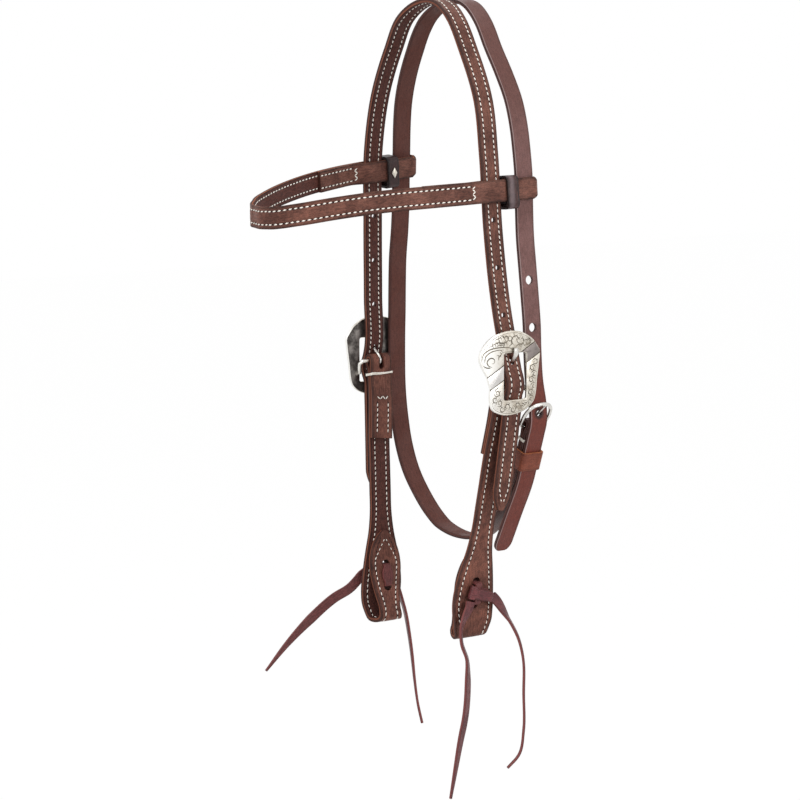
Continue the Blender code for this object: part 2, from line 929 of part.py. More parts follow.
def build_cart_buckle(side, collection, material):
    name = f"{side_names[side]}_cart_buckle"
    sized = []
    for table in (crest_shares, flank_shares, base_shares):
        part = [
            (x * plate_half_width, y * (plate_rise if y > 0 else plate_fall)) for x, y in table
        ]
        sized.append(part)
    crest = [(p.x, p.y) for p in smooth_run([(x, y, 0.0) for x, y in sized[0]], 3)]
    base = [(p.x, p.y) for p in smooth_run([(x, y, 0.0) for x, y in sized[2]], 3)]
    rim = crest + sized[1] + base
    opening = round_rectangle(
        (opening_front + opening_back) / 2,
        (opening_rise + opening_fall) / 2,
        opening_corner,
        ((opening_back - opening_front) / 2, (opening_rise - opening_fall) / 2),
    )
    plate = guide_object(name, outline_plate(name, [rim, opening], plate_thickness, plate_edge))
    turn = Matrix(((0, 0, 1, 0), (1, 0, 0, 0), (0, 1, 0, 0), (0, 0, 0, 1)))
    plate.data.transform(Matrix.Translation((plate_back + plate_thickness / 2, 0.0, 0.0)) @ turn)
    grooves = []
    for edge in (band_half_width, -band_half_width):
        bpy.ops.mesh.primitive_cube_add(size=1.0)
        groove = bpy.context.object
        groove.data.transform(
            Matrix.Diagonal((2 * groove_depth, groove_length, groove_width, 1.0))
        )
        rise = band_centre_rise + edge / math.cos(band_slope)
        groove.matrix_world = Matrix.Translation(
            (plate_back + plate_thickness, 0.0, rise)
        ) @ Matrix.Rotation(band_slope, 4, "X")
        grooves.append(groove)
    shape = combine(plate, grooves, "DIFFERENCE")
    if side < 0:
        # Both sides wear the same casting, so on the off side its lobe points to the rear.
        shape.transform(Matrix.Scale(-1.0, 4, (0.0, 1.0, 0.0)))
        shape.flip_normals()
    plate = guide_object(name, shape)
    sunk = plate_back + plate_thickness / 2
    feet = [
        Vector((sunk, -bar_foot_front, -bar_foot_drop)),
        Vector((plate_back - bar_radius - bar_bend, -bar_foot_front, -bar_foot_drop + bar_bend)),
        Vector((bar_stand, -bar_reach_front, -bar_stand)),
        Vector((0.0, -bar_reach_front + bar_bend, 0.0)),
        Vector((0.0, bar_reach_back - bar_bend, 0.0)),
        Vector((bar_stand, bar_reach_back, -bar_stand)),
        Vector((plate_back - bar_radius - bar_bend, bar_foot_back, -bar_foot_drop + bar_bend)),
        Vector((sunk, bar_foot_back, -bar_foot_drop)),
    ]
    bar = guide_object("bar", tube_mesh("bar", feet, bar_radius))
    mesh = triangulate(combine(plate, [bar], "UNION"))
    place_object(name, mirrored(mesh, side), collection, material, bars[side])


def tongue_points(radius, wire, angle, shank_end, tip):
    ring, start, _ = tongue_line(radius, wire, angle)
    leave = math.pi - angle
    curl = arc_run((0.0, 0.0), ring, leave + tongue_curl, leave)
    points = [Vector((out, 0.0, up)) for out, up in curl]
    points.append(Vector((shank_end.x, 0.0, shank_end.y)))
    points.append(Vector((tip.x, 0.0, tip.y)))
    return points


def build_cart_tongue(side, collection, material):
    name = f"{side_names[side]}_cart_tongue"
    _, start, heading = tongue_line(bar_radius, tongue_radius, tongue_angle)
    rest_out = plate_back + plate_thickness + seat_gap + tongue_radius
    shank_end = start + heading * ((rest_out - start.x) / heading.x)
    tip = Vector((rest_out, tongue_tip_rise))
    points = tongue_points(bar_radius, tongue_radius, tongue_angle, shank_end, tip)
    mesh = tube_mesh(name, points, tongue_radius)
    place_object(name, mirrored(mesh, side), collection, material, bars[side])


def ply_face(rise, ply, off):
    """A place at the bit end, at a distance from the outer face of the outer (1) or inner (-1) ply."""
    place = ply_place(cheek_drop - rise, ply, loop_apart(rise))
    step = lace_bend
    above = ply_place(cheek_drop - rise - step, ply, loop_apart(rise + step))
    below = ply_place(cheek_drop - rise + step, ply, loop_apart(rise - step))
    way = (below - above).normalized()
    out = way.cross(Vector((0.0, 1.0, 0.0))) * ply
    return place + out.normalized() * (cheek_thickness / 2 + off)


def lace_run():
    """The lace's closed part: knot, upper hole, down the horse's side, lower hole, knot."""
    lay = seat_gap + lace_thickness / 2
    stand = seat_gap + knot_wall + lay + knot_slack
    half_lap = upper_hole_rise - lace_hole_shift - knot_rise
    fall = knot_rise - lower_hole_rise - lace_hole_shift
    run = [ply_face(knot_rise + lace_end_gap / 2, 1, stand)]
    for off, up in arc_run((stand - lace_bend, half_lap - lace_bend), lace_bend, 0.0, math.pi / 2):
        run.append(ply_face(knot_rise + up, 1, off))
    for off, up in reversed(arc_run((lay - lace_bend, half_lap - lace_bend), lace_bend, 0.0, math.pi / 2)):
        run.append(ply_face(knot_rise + up, -1, off))
    for off, up in reversed(arc_run((lay - lace_bend, lace_bend - fall), lace_bend, -math.pi / 2, 0.0)):
        run.append(ply_face(knot_rise + up, -1, off))
    for off, up in arc_run((stand - lace_bend, lace_bend - fall), lace_bend, -math.pi / 2, 0.0):
        run.append(ply_face(knot_rise + up, 1, off))
    run.append(ply_face(knot_rise - lace_end_gap / 2, 1, stand))
    return run


def build_lace(side, collection, material):
    name = f"{side_names[side]}_lace"
    run = lace_run()
    upper = upper_hole_rise - lace_hole_shift
    lower = lower_hole_rise + lace_hole_shift
    ports = [mark_near(run, ply_face(rise, ply, 0.0)) for rise in (upper, lower) for ply in (1, -1)]
    reach = (upper - lower) / 2

    def half_width_at(mark):
        """Full width only between the holes on the horse's side. The rest is folded narrower."""
        within = min(mark - ports[1], ports[3] - mark)
        share = interpolate(lace_flat_shares, max(within / reach, 0.0))
        return (lace_hole_width + (lace_width - lace_hole_width) * share) / 2

    middle = (ports[1] + ports[3]) / 2
    run = add_marks(run, [middle - reach / 2, middle, middle + reach / 2])
    mesh = strap_mesh(name, run, straight_back, half_width_at, lace_thickness)
    place_object(name, mirrored(mesh, side), collection, material, bars[side])


def build_knot(side, collection, material):
    name = f"{side_names[side]}_lace_knot"
    half_out = lace_thickness / 2 + seat_gap + knot_slack
    rim = round_rectangle(half_out + knot_wall, knot_half_width + knot_wall, knot_corner + knot_wall / 2)
    hollow = round_rectangle(half_out, knot_half_width, knot_hollow_corner)
    mesh = outline_plate(name, [rim, hollow], knot_height, strap_edge)
    seat = knot_height * knot_seat_share
    above, below = [ply_face(knot_rise + rise, 1, 0.0) for rise in (seat, -seat)]
    up = (above - below).normalized()
    out = Vector((0.0, 1.0, 0.0)).cross(up)
    centre = (above + below) / 2 + out * (seat_gap + knot_wall + half_out)
    centre.y += knot_back
    lean = Matrix.Rotation(math.atan2(up.x, up.z), 4, "Y")
    mesh.transform(Matrix.Translation(centre) @ lean @ Matrix.Rotation(-knot_slope, 4, "X"))
    place_object(name, mirrored(mesh, side), collection, material, bars[side])


def build_tail(name, route, first, last, collection, material):
    """A free end of a lace: a flat strip whose broad side turns from one facing to another."""
    run = thin_out(smooth_run(route, 6))
    length = lengths_along(run)[-1]
    marks = [length - lace_tip_length * share for share in lace_tip_shares]
    run = add_marks(run, marks)

    def across_at(place):
        share = mark_near(run, place) / length
        return first.lerp(last, share)

    def half_width_at(mark):
        share = min((length - mark) / lace_tip_length, 1.0)
        return (lace_tip_width + (lace_root_width - lace_tip_width) * share) / 2

    mesh = strap_mesh(name, run, across_at, half_width_at, lace_thickness)
    place_object(name, mesh, collection, material)


def build_tails(collection, material):
    """Each tail's route, and which way its broad side points at the knot and at the tip."""
    flat = Vector((0.0, math.cos(knot_slope), -math.sin(knot_slope)))
    edgewise = Vector((1.0, -0.3, 0.0))
    away = Vector((0.8, -0.6, 0.0))
    upright = Vector((0.0, 0.0, 1.0))
    for name, route, first, last in (
        ("near_lace_tail_front", near_front_tail_route, flat, Vector((-0.4, 1.0, 0.0))),
        ("near_lace_tail_back", near_back_tail_route, edgewise, away),
        ("off_lace_tail_front", off_front_tail_route, upright, Vector((0.0, -0.4, 1.0))),
        ("off_lace_tail_back", off_back_tail_route, edgewise, away),
    ):
        build_tail(name, route, first, last, collection, material)


def throat_local(out, along):
    """A place by the near standing part: out from its middle, and along it below the bar."""
    down = Vector((-math.sin(throat_lean), 0.0, -math.cos(throat_lean)))
    outward = Vector((math.cos(throat_lean), 0.0, -math.sin(throat_lean)))
    return throat_bar + outward * out + down * along


def throat_place(share, side=1.0):
    x, y, z = share
    return Vector((side * x * throat_half_span, y * throat_back, -z * throat_depth))


def throat_run():
    """Mid-thickness: near tail, fold on the bar, under the throat, over the poll, near billet."""
    half = throat_pitch / 2
    run = [throat_local(-half, along) for along in (throat_tail_length, throat_pinch * 2, throat_pinch)]
    for out, up in arc_run((0.0, 0.0), throat_fold_mid, math.pi + fold_ease, -fold_ease):
        run.append(throat_local(out, -up))
    run += [throat_local(half, along) for along in (throat_pinch, throat_pinch * 2)]
    under = [throat_local(half, throat_settled), throat_local(half, throat_straight)]
    under += [throat_place(share) for share in reversed(throat_near_shares)]
    under += [throat_place(share, -1.0) for share in reversed(throat_off_shares)]
    lift = Vector((0.0, 0.0, throat_thickness / 2))
    under += [throat_place(share, -1.0) + lift for share in reversed(throat_top_shares[1:])]
    under += [throat_place(share) + lift for share in throat_top_shares]
    under += [throat_place(share) for share in throat_billet_shares]
    under.append(throat_bar + Vector((throat_billet_out, 0.0, throat_pinch)))
    under.append(throat_bar + Vector((throat_billet_out, 0.0, 0.0)))
    under.append(throat_local(throat_run_out, throat_pinch))
    run += thin_out(smooth_run(under))
    run.append(throat_local(throat_run_out, throat_straight / 2))
    run.append(throat_local(throat_run_out, throat_straight))
    tip_drop = throat_drop + throat_billet_tip_fall
    tip = Vector((throat_near_span - throat_billet_tip_in, throat_back, -tip_drop))
    run.append(run[-1].lerp(tip, 0.5))
    run.append(tip)
    return run


def bow_place(rise):
    """The middle of the bow at a height in its own plane, which tips out from the bar."""
    tilt = Vector((math.sin(throat_bow_tilt), 0.0, math.cos(throat_bow_tilt)))
    return throat_bar + tilt * rise


def build_throatlatch(collection, material):
    run = throat_run()
    length = lengths_along(run)[-1]
    run = add_marks(run, [length - throat_tip_length * share for share in throat_tip_shares])
    depth = throat_thickness + 2 * overrun
    top = mark_near(run, throat_local(0.0, -throat_fold_mid))
    half_slot = throat_slot_width / 2
    cutters = [slot_cutter("slot", top - throat_slot_reach, top + throat_slot_reach, half_slot, depth)]
    _, start, heading = tongue_line(throat_bar_radius, throat_tongue_radius, throat_tongue_angle)
    held, _ = strap_crossing(run[len(run) // 2 :], throat_bar, 1.0, start, heading)
    held += lengths_along(run)[len(run) // 2]
    marks = [held]
    for number in range(throat_holes):
        marks.append(held - throat_first_pitch - number * throat_hole_pitch)
    for mark in marks:
        cutters.append(hole_cutter("billet_hole", mark, throat_hole_diameter / 2, depth))

    def half_width_at(mark):
        share = min((length - mark) / throat_tip_length, 1.0)
        sweep = math.sqrt(max(1.0 - (1.0 - share) ** 2, 0.0))
        return (throat_tip_width + (throat_width - throat_tip_width) * sweep) / 2

    name = "throatlatch_strap"
    mesh = strap_mesh(name, run, straight_back, half_width_at, throat_thickness, cutters)
    place_object(name, mesh, collection, material)
    return run


def build_throat_fittings(collection, metal, thread, leather):
    half = [(x * throat_bow_half_width, z * throat_bow_height) for x, z in throat_bow_shares]
    ring = half + [(-x, z) for x, z in reversed(half)]
    across = Vector((0.0, 1.0, 0.0))
    tilt = (bow_place(throat_bow_height) - throat_bar).normalized()
    points = [across * x + tilt * z for x, z in ring]
    points = smooth_run(points, 3)
    bow = tube_mesh("throat_buckle", points, throat_bar_radius, closed=True)
    place_object("throat_buckle", bow, collection, metal, throat_bar)

    _, start, heading = tongue_line(throat_bar_radius, throat_tongue_radius, throat_tongue_angle)
    shank_end = start + heading * ((throat_tongue_rise - start.y) / heading.y)
    middle = start.lerp(shank_end, 0.5)
    points = tongue_points(
        throat_bar_radius, throat_tongue_radius, throat_tongue_angle, middle, shank_end
    )
    tongue = tube_mesh("throat_tongue", points, throat_tongue_radius)
    place_object("throat_tongue", tongue, collection, metal, throat_bar)

    down = throat_local(0.0, 1.0) - throat_local(0.0, 0.0)
    clear = seat_gap + thread_radius
    half_out = throat_pitch / 2 + throat_thickness / 2 + clear
    half_back = throat_width / 2 + clear
    centre = throat_local(0.0, throat_thread_drop)
    wound = wound_thread("throat_thread", half_out, half_back, centre, down.normalized())
    place_object("throat_thread", wound, collection, thread)

    inner = -throat_pitch / 2 - throat_thickness / 2 - seat_gap
    outer = throat_run_out + throat_thickness / 2 + seat_gap
    half_out = (outer - inner) / 2
    half_back = throat_width / 2 + seat_gap
    wall = throat_keeper_wall
    rim = round_rectangle(half_out + wall, half_back + wall, throat_keeper_corner + wall / 2)
    hollow = round_rectangle(half_out, half_back, throat_keeper_corner / 2)
    keeper = outline_plate("throat_keeper", [rim, hollow], throat_keeper_height, strap_edge)
    keeper.transform(Matrix.Rotation(throat_lean, 4, "Y"))
    middle = throat_local((inner + outer) / 2, throat_keeper_drop)
    place_object("throat_keeper", keeper, collection, leather, middle)


def browband_stops(side, crown, throat):
    """Where crown and throatlatch cross the browband on one side."""
    drop = near_browband_drop if side > 0 else off_browband_drop
    crown_place, crown_way = crown_at(side, drop, crown)
    throat_place, _ = crown_at(side, drop, throat)
    return crown_place, throat_place, crown_way


def crown_up(stop):
    """Up along the crown where it passes through the browband."""
    way = stop[2]
    return -way if way.z < 0 else way


def browband_height(x, y, stops):
    """Each loop lies square to its strap. Further forward the band levels out and droops."""
    near, off = stops[1.0], stops[-1.0]
    share = (x - off[0].x) / (near[0].x - off[0].x)
    level = off[0].z + (near[0].z - off[0].z) * share
    slope = off_browband_slope + (near_browband_slope - off_browband_slope) * share
    own = near if x > 0 else off
    up = crown_up(own)
    square = own[0].z - (x - own[0].x) * up.x / up.z
    ease = min(max(-y, 0.0) / browband_ease, 1.0)
    reach = max(-y, 0.0) / browband_reach
    height = square + (level - square) * ease
    return height + slope * y - browband_droop * reach**browband_droop_power


def browband_half(side, stops):
    """One half in plan, from the nose to the inner end, on the near side's pattern."""
    crown_place, throat_place, _ = stops[side]
    half_band = browband_thickness / 2
    crown_out = crown_thickness / 2 + browband_outside_gap + half_band
    crown_in = crown_thickness / 2 + browband_inside_gap + half_band
    throat_out = throat_thickness / 2 + browband_outside_gap + half_band
    outer = abs(crown_place.x) + crown_out
    inner = abs(crown_place.x) - crown_in
    outer_back = max(abs(throat_place.x) + throat_out, outer)
    inner_back = min(abs(throat_place.x) - throat_thickness / 2 - browband_inside_gap - half_band, inner)
    sides = [(x * outer, y * browband_reach) for x, y in reversed(browband_side_shares)]
    front = crown_place.y - crown_width / 2
    rear = throat_place.y + throat_width / 2 + browband_end_gap + half_band
    outside = [(x, y) for x, y in sides]
    outside += [(outer, front), (outer_back, rear - browband_corner)]
    run = [Vector((x, y, 0.0)) for x, y in outside]
    run = smooth_run(run[:-1], 6) + [run[-1]]
    turn = []
    corner = browband_corner
    turn += arc_run((outer_back - corner, rear - corner), corner, 0.0, math.pi / 2)
    turn += arc_run((inner_back + corner, rear - corner), corner, math.pi / 2, math.pi)
    run = run[:-1] + [Vector((x, y, 0.0)) for x, y in turn]
    run.append(Vector((inner, front, 0.0)))
    pitch = browband_thickness + seat_gap
    seam = -browband_seam
    inside = []
    for place in reversed(smooth_run([Vector((x, y, 0.0)) for x, y in sides], 6)):
        if seam >= place.y >= -browband_tail_reach:
            inside.append(place)
    for index, place in enumerate(inside):
        ahead = inside[min(index + 1, len(inside) - 1)] - inside[max(index - 1, 0)]
        inward = Vector((ahead.y, -ahead.x, 0.0)).normalized()
        run.append(place + inward * pitch)
    return run


def browband_run(stops):
    halves = {}
    for side in (1.0, -1.0):
        places = []
        for place in browband_half(side, stops):
            x = side * place.x
            places.append(Vector((x, place.y, browband_height(x, place.y, stops))))
        halves[side] = places
    route = list(reversed(halves[-1.0])) + halves[1.0][1:]
    return thin_out(route)


def browband_across(stops):
    def across_at(place):
        near, off = stops[1.0], stops[-1.0]
        share = (place.x - off[0].x) / (near[0].x - off[0].x)
        share = min(max(share, 0.0), 1.0)
        return crown_up(off).lerp(crown_up(near), share)

    return across_at


def build_browband(collection, material, crown, throat):
    stops = {side: browband_stops(side, crown, throat) for side in (1.0, -1.0)}
    run = browband_run(stops)
    mesh = strap_mesh(
        "browband",
        run,
        browband_across(stops),
        lambda mark: browband_width / 2,
        browband_thickness,
    )
    place_object("browband", mesh, collection, material)
    return stops


def build_browband_keeper(side, collection, leather, metal, stops):
    crown_place, throat_place, _ = stops[side]
    up = crown_up(stops[side])
    half_band = browband_thickness / 2
    front = crown_place.y + crown_width / 2
    rear = throat_place.y - throat_width / 2
    crown_x, throat_x = abs(crown_place.x), abs(throat_place.x)
    outer_front = crown_x + crown_thickness / 2 + browband_outside_gap + half_band
    outer_rear = max(throat_x + throat_thickness / 2 + browband_outside_gap + half_band, outer_front)
    inner_front = crown_x - crown_thickness / 2 - browband_inside_gap - half_band
    inner_rear = min(throat_x - throat_thickness / 2 - browband_inside_gap - half_band, inner_front)
    ends = []
    for x, y in (
        ((outer_front + inner_front) / 2, crown_place.y - crown_width / 2),
        ((outer_rear + inner_rear) / 2, throat_place.y + throat_width / 2),
    ):
        ends.append(Vector((side * x, y, browband_height(side * x, y, stops))))
    back = (ends[1] - ends[0]).normalized()
    middle_y = (front + rear) / 2
    share = (middle_y - ends[0].y) / (ends[1].y - ends[0].y)
    place = ends[0].lerp(ends[1], share)
    apart_front, apart_rear = outer_front - inner_front, outer_rear - inner_rear
    apart = apart_front + (apart_rear - apart_front) * share
    slack = abs(apart_rear - apart_front) * keeper_length / (ends[1].y - ends[0].y)
    half_x = (apart + slack) / 2 + half_band + seat_gap
    top = browband_width / 2 + keeper_top_gap
    bottom = browband_width / 2 + keeper_bottom_gap
    half_z = (top + bottom) / 2
    wall = keeper_wall
    hollow = round_rectangle(half_x, half_z, keeper_corner / 2)
    rim = round_rectangle(half_x + wall, half_z + wall, keeper_corner)
    name = f"{side_names[side]}_browband_keeper"
    mesh = outline_plate(name, [rim, hollow], keeper_length, strap_edge)
    outward = back.cross(up).normalized()
    up = outward.cross(back)
    turn = Matrix((outward, up, -back)).transposed().to_4x4()
    place += up * (top - bottom) / 2
    mesh.transform(Matrix.Translation(place) @ turn)
    place_object(name, mesh, collection, leather)

    name = f"{side_names[side]}_keeper_staple"
    diamond = [
        (staple_width / 2, 0.0),
        (0.0, staple_height / 2),
        (-staple_width / 2, 0.0),
        (0.0, -staple_height / 2),
    ]
    mesh = outline_plate(name, [diamond], staple_thickness, staple_thickness / 4)
    inward = outward if outward.x * side < 0 else -outward
    reach = half_x + wall + seat_gap + staple_thickness / 2
    face = Matrix((up.cross(inward), up, inward)).transposed().to_4x4()
    mesh.transform(Matrix.Translation(place + inward * reach) @ face)
    place_object(name, mesh, collection, metal)


def main():
    clear_scene()
    headstall = new_collection("western_headstall")
    harness = make_material("harness_leather", harness_brown, 0.5, 0.0)
    bridle = make_material("bridle_leather", throat_brown, 0.4, 0.0)
    latigo = make_material("latigo_leather", lace_red, 0.45, 0.0)
    dark = make_material("keeper_leather", keeper_brown, 0.3, 0.0)
    tan = make_material("tan_leather", tan_brown, 0.5, 0.0)
    cream = make_material("waxed_thread", thread_cream, 0.7, 0.0)
    silver = make_material("engraved_silver", silver_grey, 0.35, 1.0)
    nickel = make_material("nickel_wire", nickel_grey, 0.25, 1.0)
    crown = build_crown(headstall, harness)
    throat = build_throatlatch(headstall, bridle)
    stops = build_browband(headstall, harness, crown, throat)
    for side in (1.0, -1.0):
        build_browband_keeper(side, headstall, dark, nickel, stops)
        build_cart_buckle(side, headstall, silver)
        build_cart_tongue(side, headstall, nickel)
        build_cheek(side, headstall, harness)
        build_cheek_thread(side, headstall, cream)
        build_lace(side, headstall, latigo)
        build_knot(side, headstall, latigo)
    build_tails(headstall, latigo)
    build_throat_fittings(headstall, nickel, cream, tan)


main()
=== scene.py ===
import math
import random
from bisect import bisect_right

import bpy
from mathutils import Matrix, Vector, kdtree, noise


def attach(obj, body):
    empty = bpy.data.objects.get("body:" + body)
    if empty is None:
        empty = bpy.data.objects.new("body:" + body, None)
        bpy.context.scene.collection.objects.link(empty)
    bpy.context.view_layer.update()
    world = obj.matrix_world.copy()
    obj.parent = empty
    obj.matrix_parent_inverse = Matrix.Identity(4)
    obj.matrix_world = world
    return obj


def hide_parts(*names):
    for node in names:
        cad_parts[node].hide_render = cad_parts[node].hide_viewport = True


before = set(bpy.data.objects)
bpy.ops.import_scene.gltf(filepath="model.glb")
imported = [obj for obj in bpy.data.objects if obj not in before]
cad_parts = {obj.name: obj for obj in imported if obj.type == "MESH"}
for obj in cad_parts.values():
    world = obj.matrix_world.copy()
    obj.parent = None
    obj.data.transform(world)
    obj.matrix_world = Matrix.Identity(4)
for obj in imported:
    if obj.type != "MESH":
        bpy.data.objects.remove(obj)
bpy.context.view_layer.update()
print("frame loaded")

mm = 0.001
shuffle = random.Random(7)
# where each cart buckle's bar is; everything hung on a buckle is made round the near one's bar
bars = {"near": Vector((84, 7.5, -278.5)) * mm, "off": Vector((-84, 7.5, -284.5)) * mm}
sideSign = {"near": 1, "off": -1}


# camera, at the photograph's angle
cameraPlan = {
    "azimuth": 54, "elevation": 8, "distance": 2.2, "lens": 126.9, "aim": (0, 0, -0.307), "shift": -0.04,
}


def placeCamera(plan):
    turn, tilt = math.radians(plan["azimuth"]), math.radians(plan["elevation"])
    away = Vector((math.sin(turn) * math.cos(tilt), -math.cos(turn) * math.cos(tilt), math.sin(tilt)))
    aim = Vector(plan["aim"])
    bpy.ops.object.camera_add(location=aim + away * plan["distance"])
    camera = bpy.context.object
    camera.name = "camera"
    camera.rotation_euler = (-away).to_track_quat("-Z", "Y").to_euler()
    camera.data.lens = plan["lens"]
    camera.data.sensor_width = 36.0
    camera.data.shift_x = plan["shift"]
    camera.data.clip_start = 0.05
    camera.data.clip_end = 60.0
    bpy.context.scene.camera = camera


placeCamera(cameraPlan)


# workbench tools
def clamp(value):
    return min(max(value, 0.0), 1.0)


def choose(piece):
    bpy.ops.object.select_all(action="DESELECT")
    piece.select_set(True)
    bpy.context.view_layer.objects.active = piece


def startFrom(primitive, **settings):
    bpy.ops.object.select_all(action="DESELECT")
    primitive(**settings)
    return bpy.context.object


def addPiece(name, data):
    piece = bpy.data.objects.new(name, data)
    bpy.context.scene.collection.objects.link(piece)
    return piece


def applyModifiers(piece):
    choose(piece)
    for modifier in list(piece.modifiers):
        bpy.ops.object.modifier_apply(modifier=modifier.name)


# a smooth line through the points; its pace changes with the gaps between them
def smoothRoute(points, steps=6, closed=False):
    places = [Vector(point) for point in points]
    if closed:
        places = [places[-1]] + places + places[:2]
    spans = [after - before for before, after in zip(places, places[1:])]
    ways = [spans[0].normalized()]
    for before, after in zip(spans, spans[1:]):
        near, far = before.length, after.length
        ways.append((before * far / near + after * near / far) / (near + far))
    ways.append(spans[-1].normalized())
    route = []
    for index, span in enumerate(spans):
        reach = span.length
        first, last = ways[index] * reach, ways[index + 1] * reach
        for step in range(steps):
            t = step / steps
            place = places[index] + first * t + (3 * span - 2 * first - last) * t**2
            route.append(place + (first + last - 2 * span) * t**3)
    route.append(places[-1])
    if closed:
        route = route[steps:-steps]
        route = route[:len(points) * steps]
    return route


# the same, with a point added wherever a long gap meets a short one
def steadyRoute(points, steps, ratio=2.2):
    places = [Vector(point) for point in points]
    steady = [places[0]]
    for index in range(len(places) - 1):
        here, there = places[index], places[index + 1]
        span = (there - here).length
        before = (here - places[index - 1]).length if index else span
        after = (places[index + 2] - there).length if index + 2 < len(places) else span
        if span > ratio * before:
            steady.append(here.lerp(there, before / span))
        if span > ratio * after:
            steady.append(here.lerp(there, 1.0 - after / span))
        steady.append(there)
    return smoothRoute(steady, steps)


def marksAlong(route):
    marks = [0.0]
    for before, after in zip(route, route[1:]):
        marks.append(marks[-1] + (after - before).length)
    return marks


# each place on the route with its sideways and outward directions
def routeFrames(route, acrossAt):
    marks = marksAlong(route)
    frames = []
    last = len(route) - 1
    for index, place in enumerate(route):
        tangent = (route[min(index + 1, last)] - route[max(index - 1, 0)]).normalized()
        wanted = acrossAt(place, marks[index] / marks[-1])
        across = (wanted - wanted.dot(tangent) * tangent).normalized()
        frames.append((place, across, tangent.cross(across)))
    return marks, frames


def spotOn(marks, mark):
    index = min(max(bisect_right(marks, mark) - 1, 0), len(marks) - 2)
    return index, (mark - marks[index]) / (marks[index + 1] - marks[index])


def readTable(table, value):
    index = min(max(bisect_right(table, (value, math.inf)) - 1, 0), len(table) - 2)
    (a, first), (b, last) = table[index], table[index + 1]
    share = clamp((value - a) / max(b - a, 1e-9))
    return first + (last - first) * share


# distance along a stitch row that isn't straight, against distance along the strap
def seamTable(length, rowAt):
    count = int(length / (0.5 * mm))
    table = [(0.0, 0.0)]
    for step in range(1, count + 1):
        mark = length * step / count
        before, arc = table[-1]
        table.append((mark, arc + math.hypot(mark - before, rowAt(mark) - rowAt(before))))
    return table


def smoothTable(table):
    points = [(p.x, p.y) for p in smoothRoute([(a, b, 0.0) for a, b in table], 5)]
    return sorted(points)


def benchMarks(length, plan):
    # rows across the strap, closer together near its ends
    fineRows, leastGap = 12, 0.5 * mm
    count = max(2, round(length / plan["step"]))
    marks = [length * step / count for step in range(count + 1)]
    fine = plan.get("fineEnd")
    for step in range(1, fineRows if fine else 1):
        mark = fine * step / fineRows
        for extra in (mark, length - mark):
            if all(abs(extra - other) > leastGap for other in marks):
                marks.append(extra)
    return sorted(marks)


def benchStrap(name, length, halfAt, plan):
    # a flat strap along x on the bench, with its wall and rounded edges
    insets = plan["insets"]
    columns = 2 * len(insets) + 1
    marks = benchMarks(length, plan)
    rows = len(marks)
    strap = startFrom(
        bpy.ops.mesh.primitive_grid_add, x_subdivisions=rows - 1, y_subdivisions=columns - 1, size=1.0)
    strap.name = name
    for vertex in strap.data.vertices:
        along = marks[round((vertex.co.x + 0.5) * (rows - 1))]
        column = round((vertex.co.y + 0.5) * (columns - 1)) - len(insets)
        half = halfAt(along)
        squeeze = min(1.0, half / plan["half"])
        across = 0.0
        if column:
            across = math.copysign(half - insets[len(insets) - abs(column)] * squeeze, column)
        vertex.co = (along, across, 0.0)
    wall = strap.modifiers.new("thickness", "SOLIDIFY")
    wall.thickness = plan["thickness"]
    wall.offset = 0.0
    soften(strap, plan["rounding"], 3, 50.0)
    return strap


def soften(piece, width, segments, angle=None, clampWidth=False):
    rounding = piece.modifiers.new("rounding", "BEVEL")
    rounding.width = width
    rounding.segments = segments
    if angle:
        rounding.limit_method = "ANGLE"
        rounding.angle_limit = math.radians(angle)
        rounding.use_clamp_overlap = clampWidth
    applyModifiers(piece)


def punchHole(strap, mark, radius, reach=0.0, lean=0.0, across=0.0):
    # reach draws the round punch out to a slot, lean tips it along the strap
    punch = startFrom(bpy.ops.mesh.primitive_cylinder_add, vertices=28, radius=radius, depth=12 * mm)
    for vertex in punch.data.vertices:
        vertex.co.x += math.copysign(reach, vertex.co.x) if reach else 0.0
    punch.data.transform(Matrix.Translation((mark, across, 0.0)) @ Matrix.Rotation(lean, 4, "Y"))
    cut = strap.modifiers.new("hole", "BOOLEAN")
    cut.object = punch
    cut.solver = "EXACT"
    applyModifiers(strap)
    bpy.data.objects.remove(punch, do_unlink=True)


# how the thread pulls the leather down, how the middle swells, and how uneven a strap is
pressPlan = {
    "grooveHalf": 0.5 * mm, "grooveDepth": 0.30 * mm, "swellReach": 2.4 * mm, "swellRise": 0.14 * mm,
    "fade": 1.5 * mm, "wave": 0.10 * mm,
}


def facePress(inset, plan, sewn):
    if not plan.get("rowInset"):
        return 0.0
    gap = (inset - plan["rowInset"]) / pressPlan["grooveHalf"]
    swell = clamp((inset - plan["rowInset"]) / pressPlan["swellReach"])
    return (-pressPlan["grooveDepth"] * math.exp(-gap * gap) + pressPlan["swellRise"] * swell) * sewn


def sewnShare(along, spans):
    fade = pressPlan["fade"]
    shares = [min((along - start) / fade + 1.0, (end - along) / fade + 1.0) for start, end in spans]
    return min(max(shares + [0.0]), 1.0)


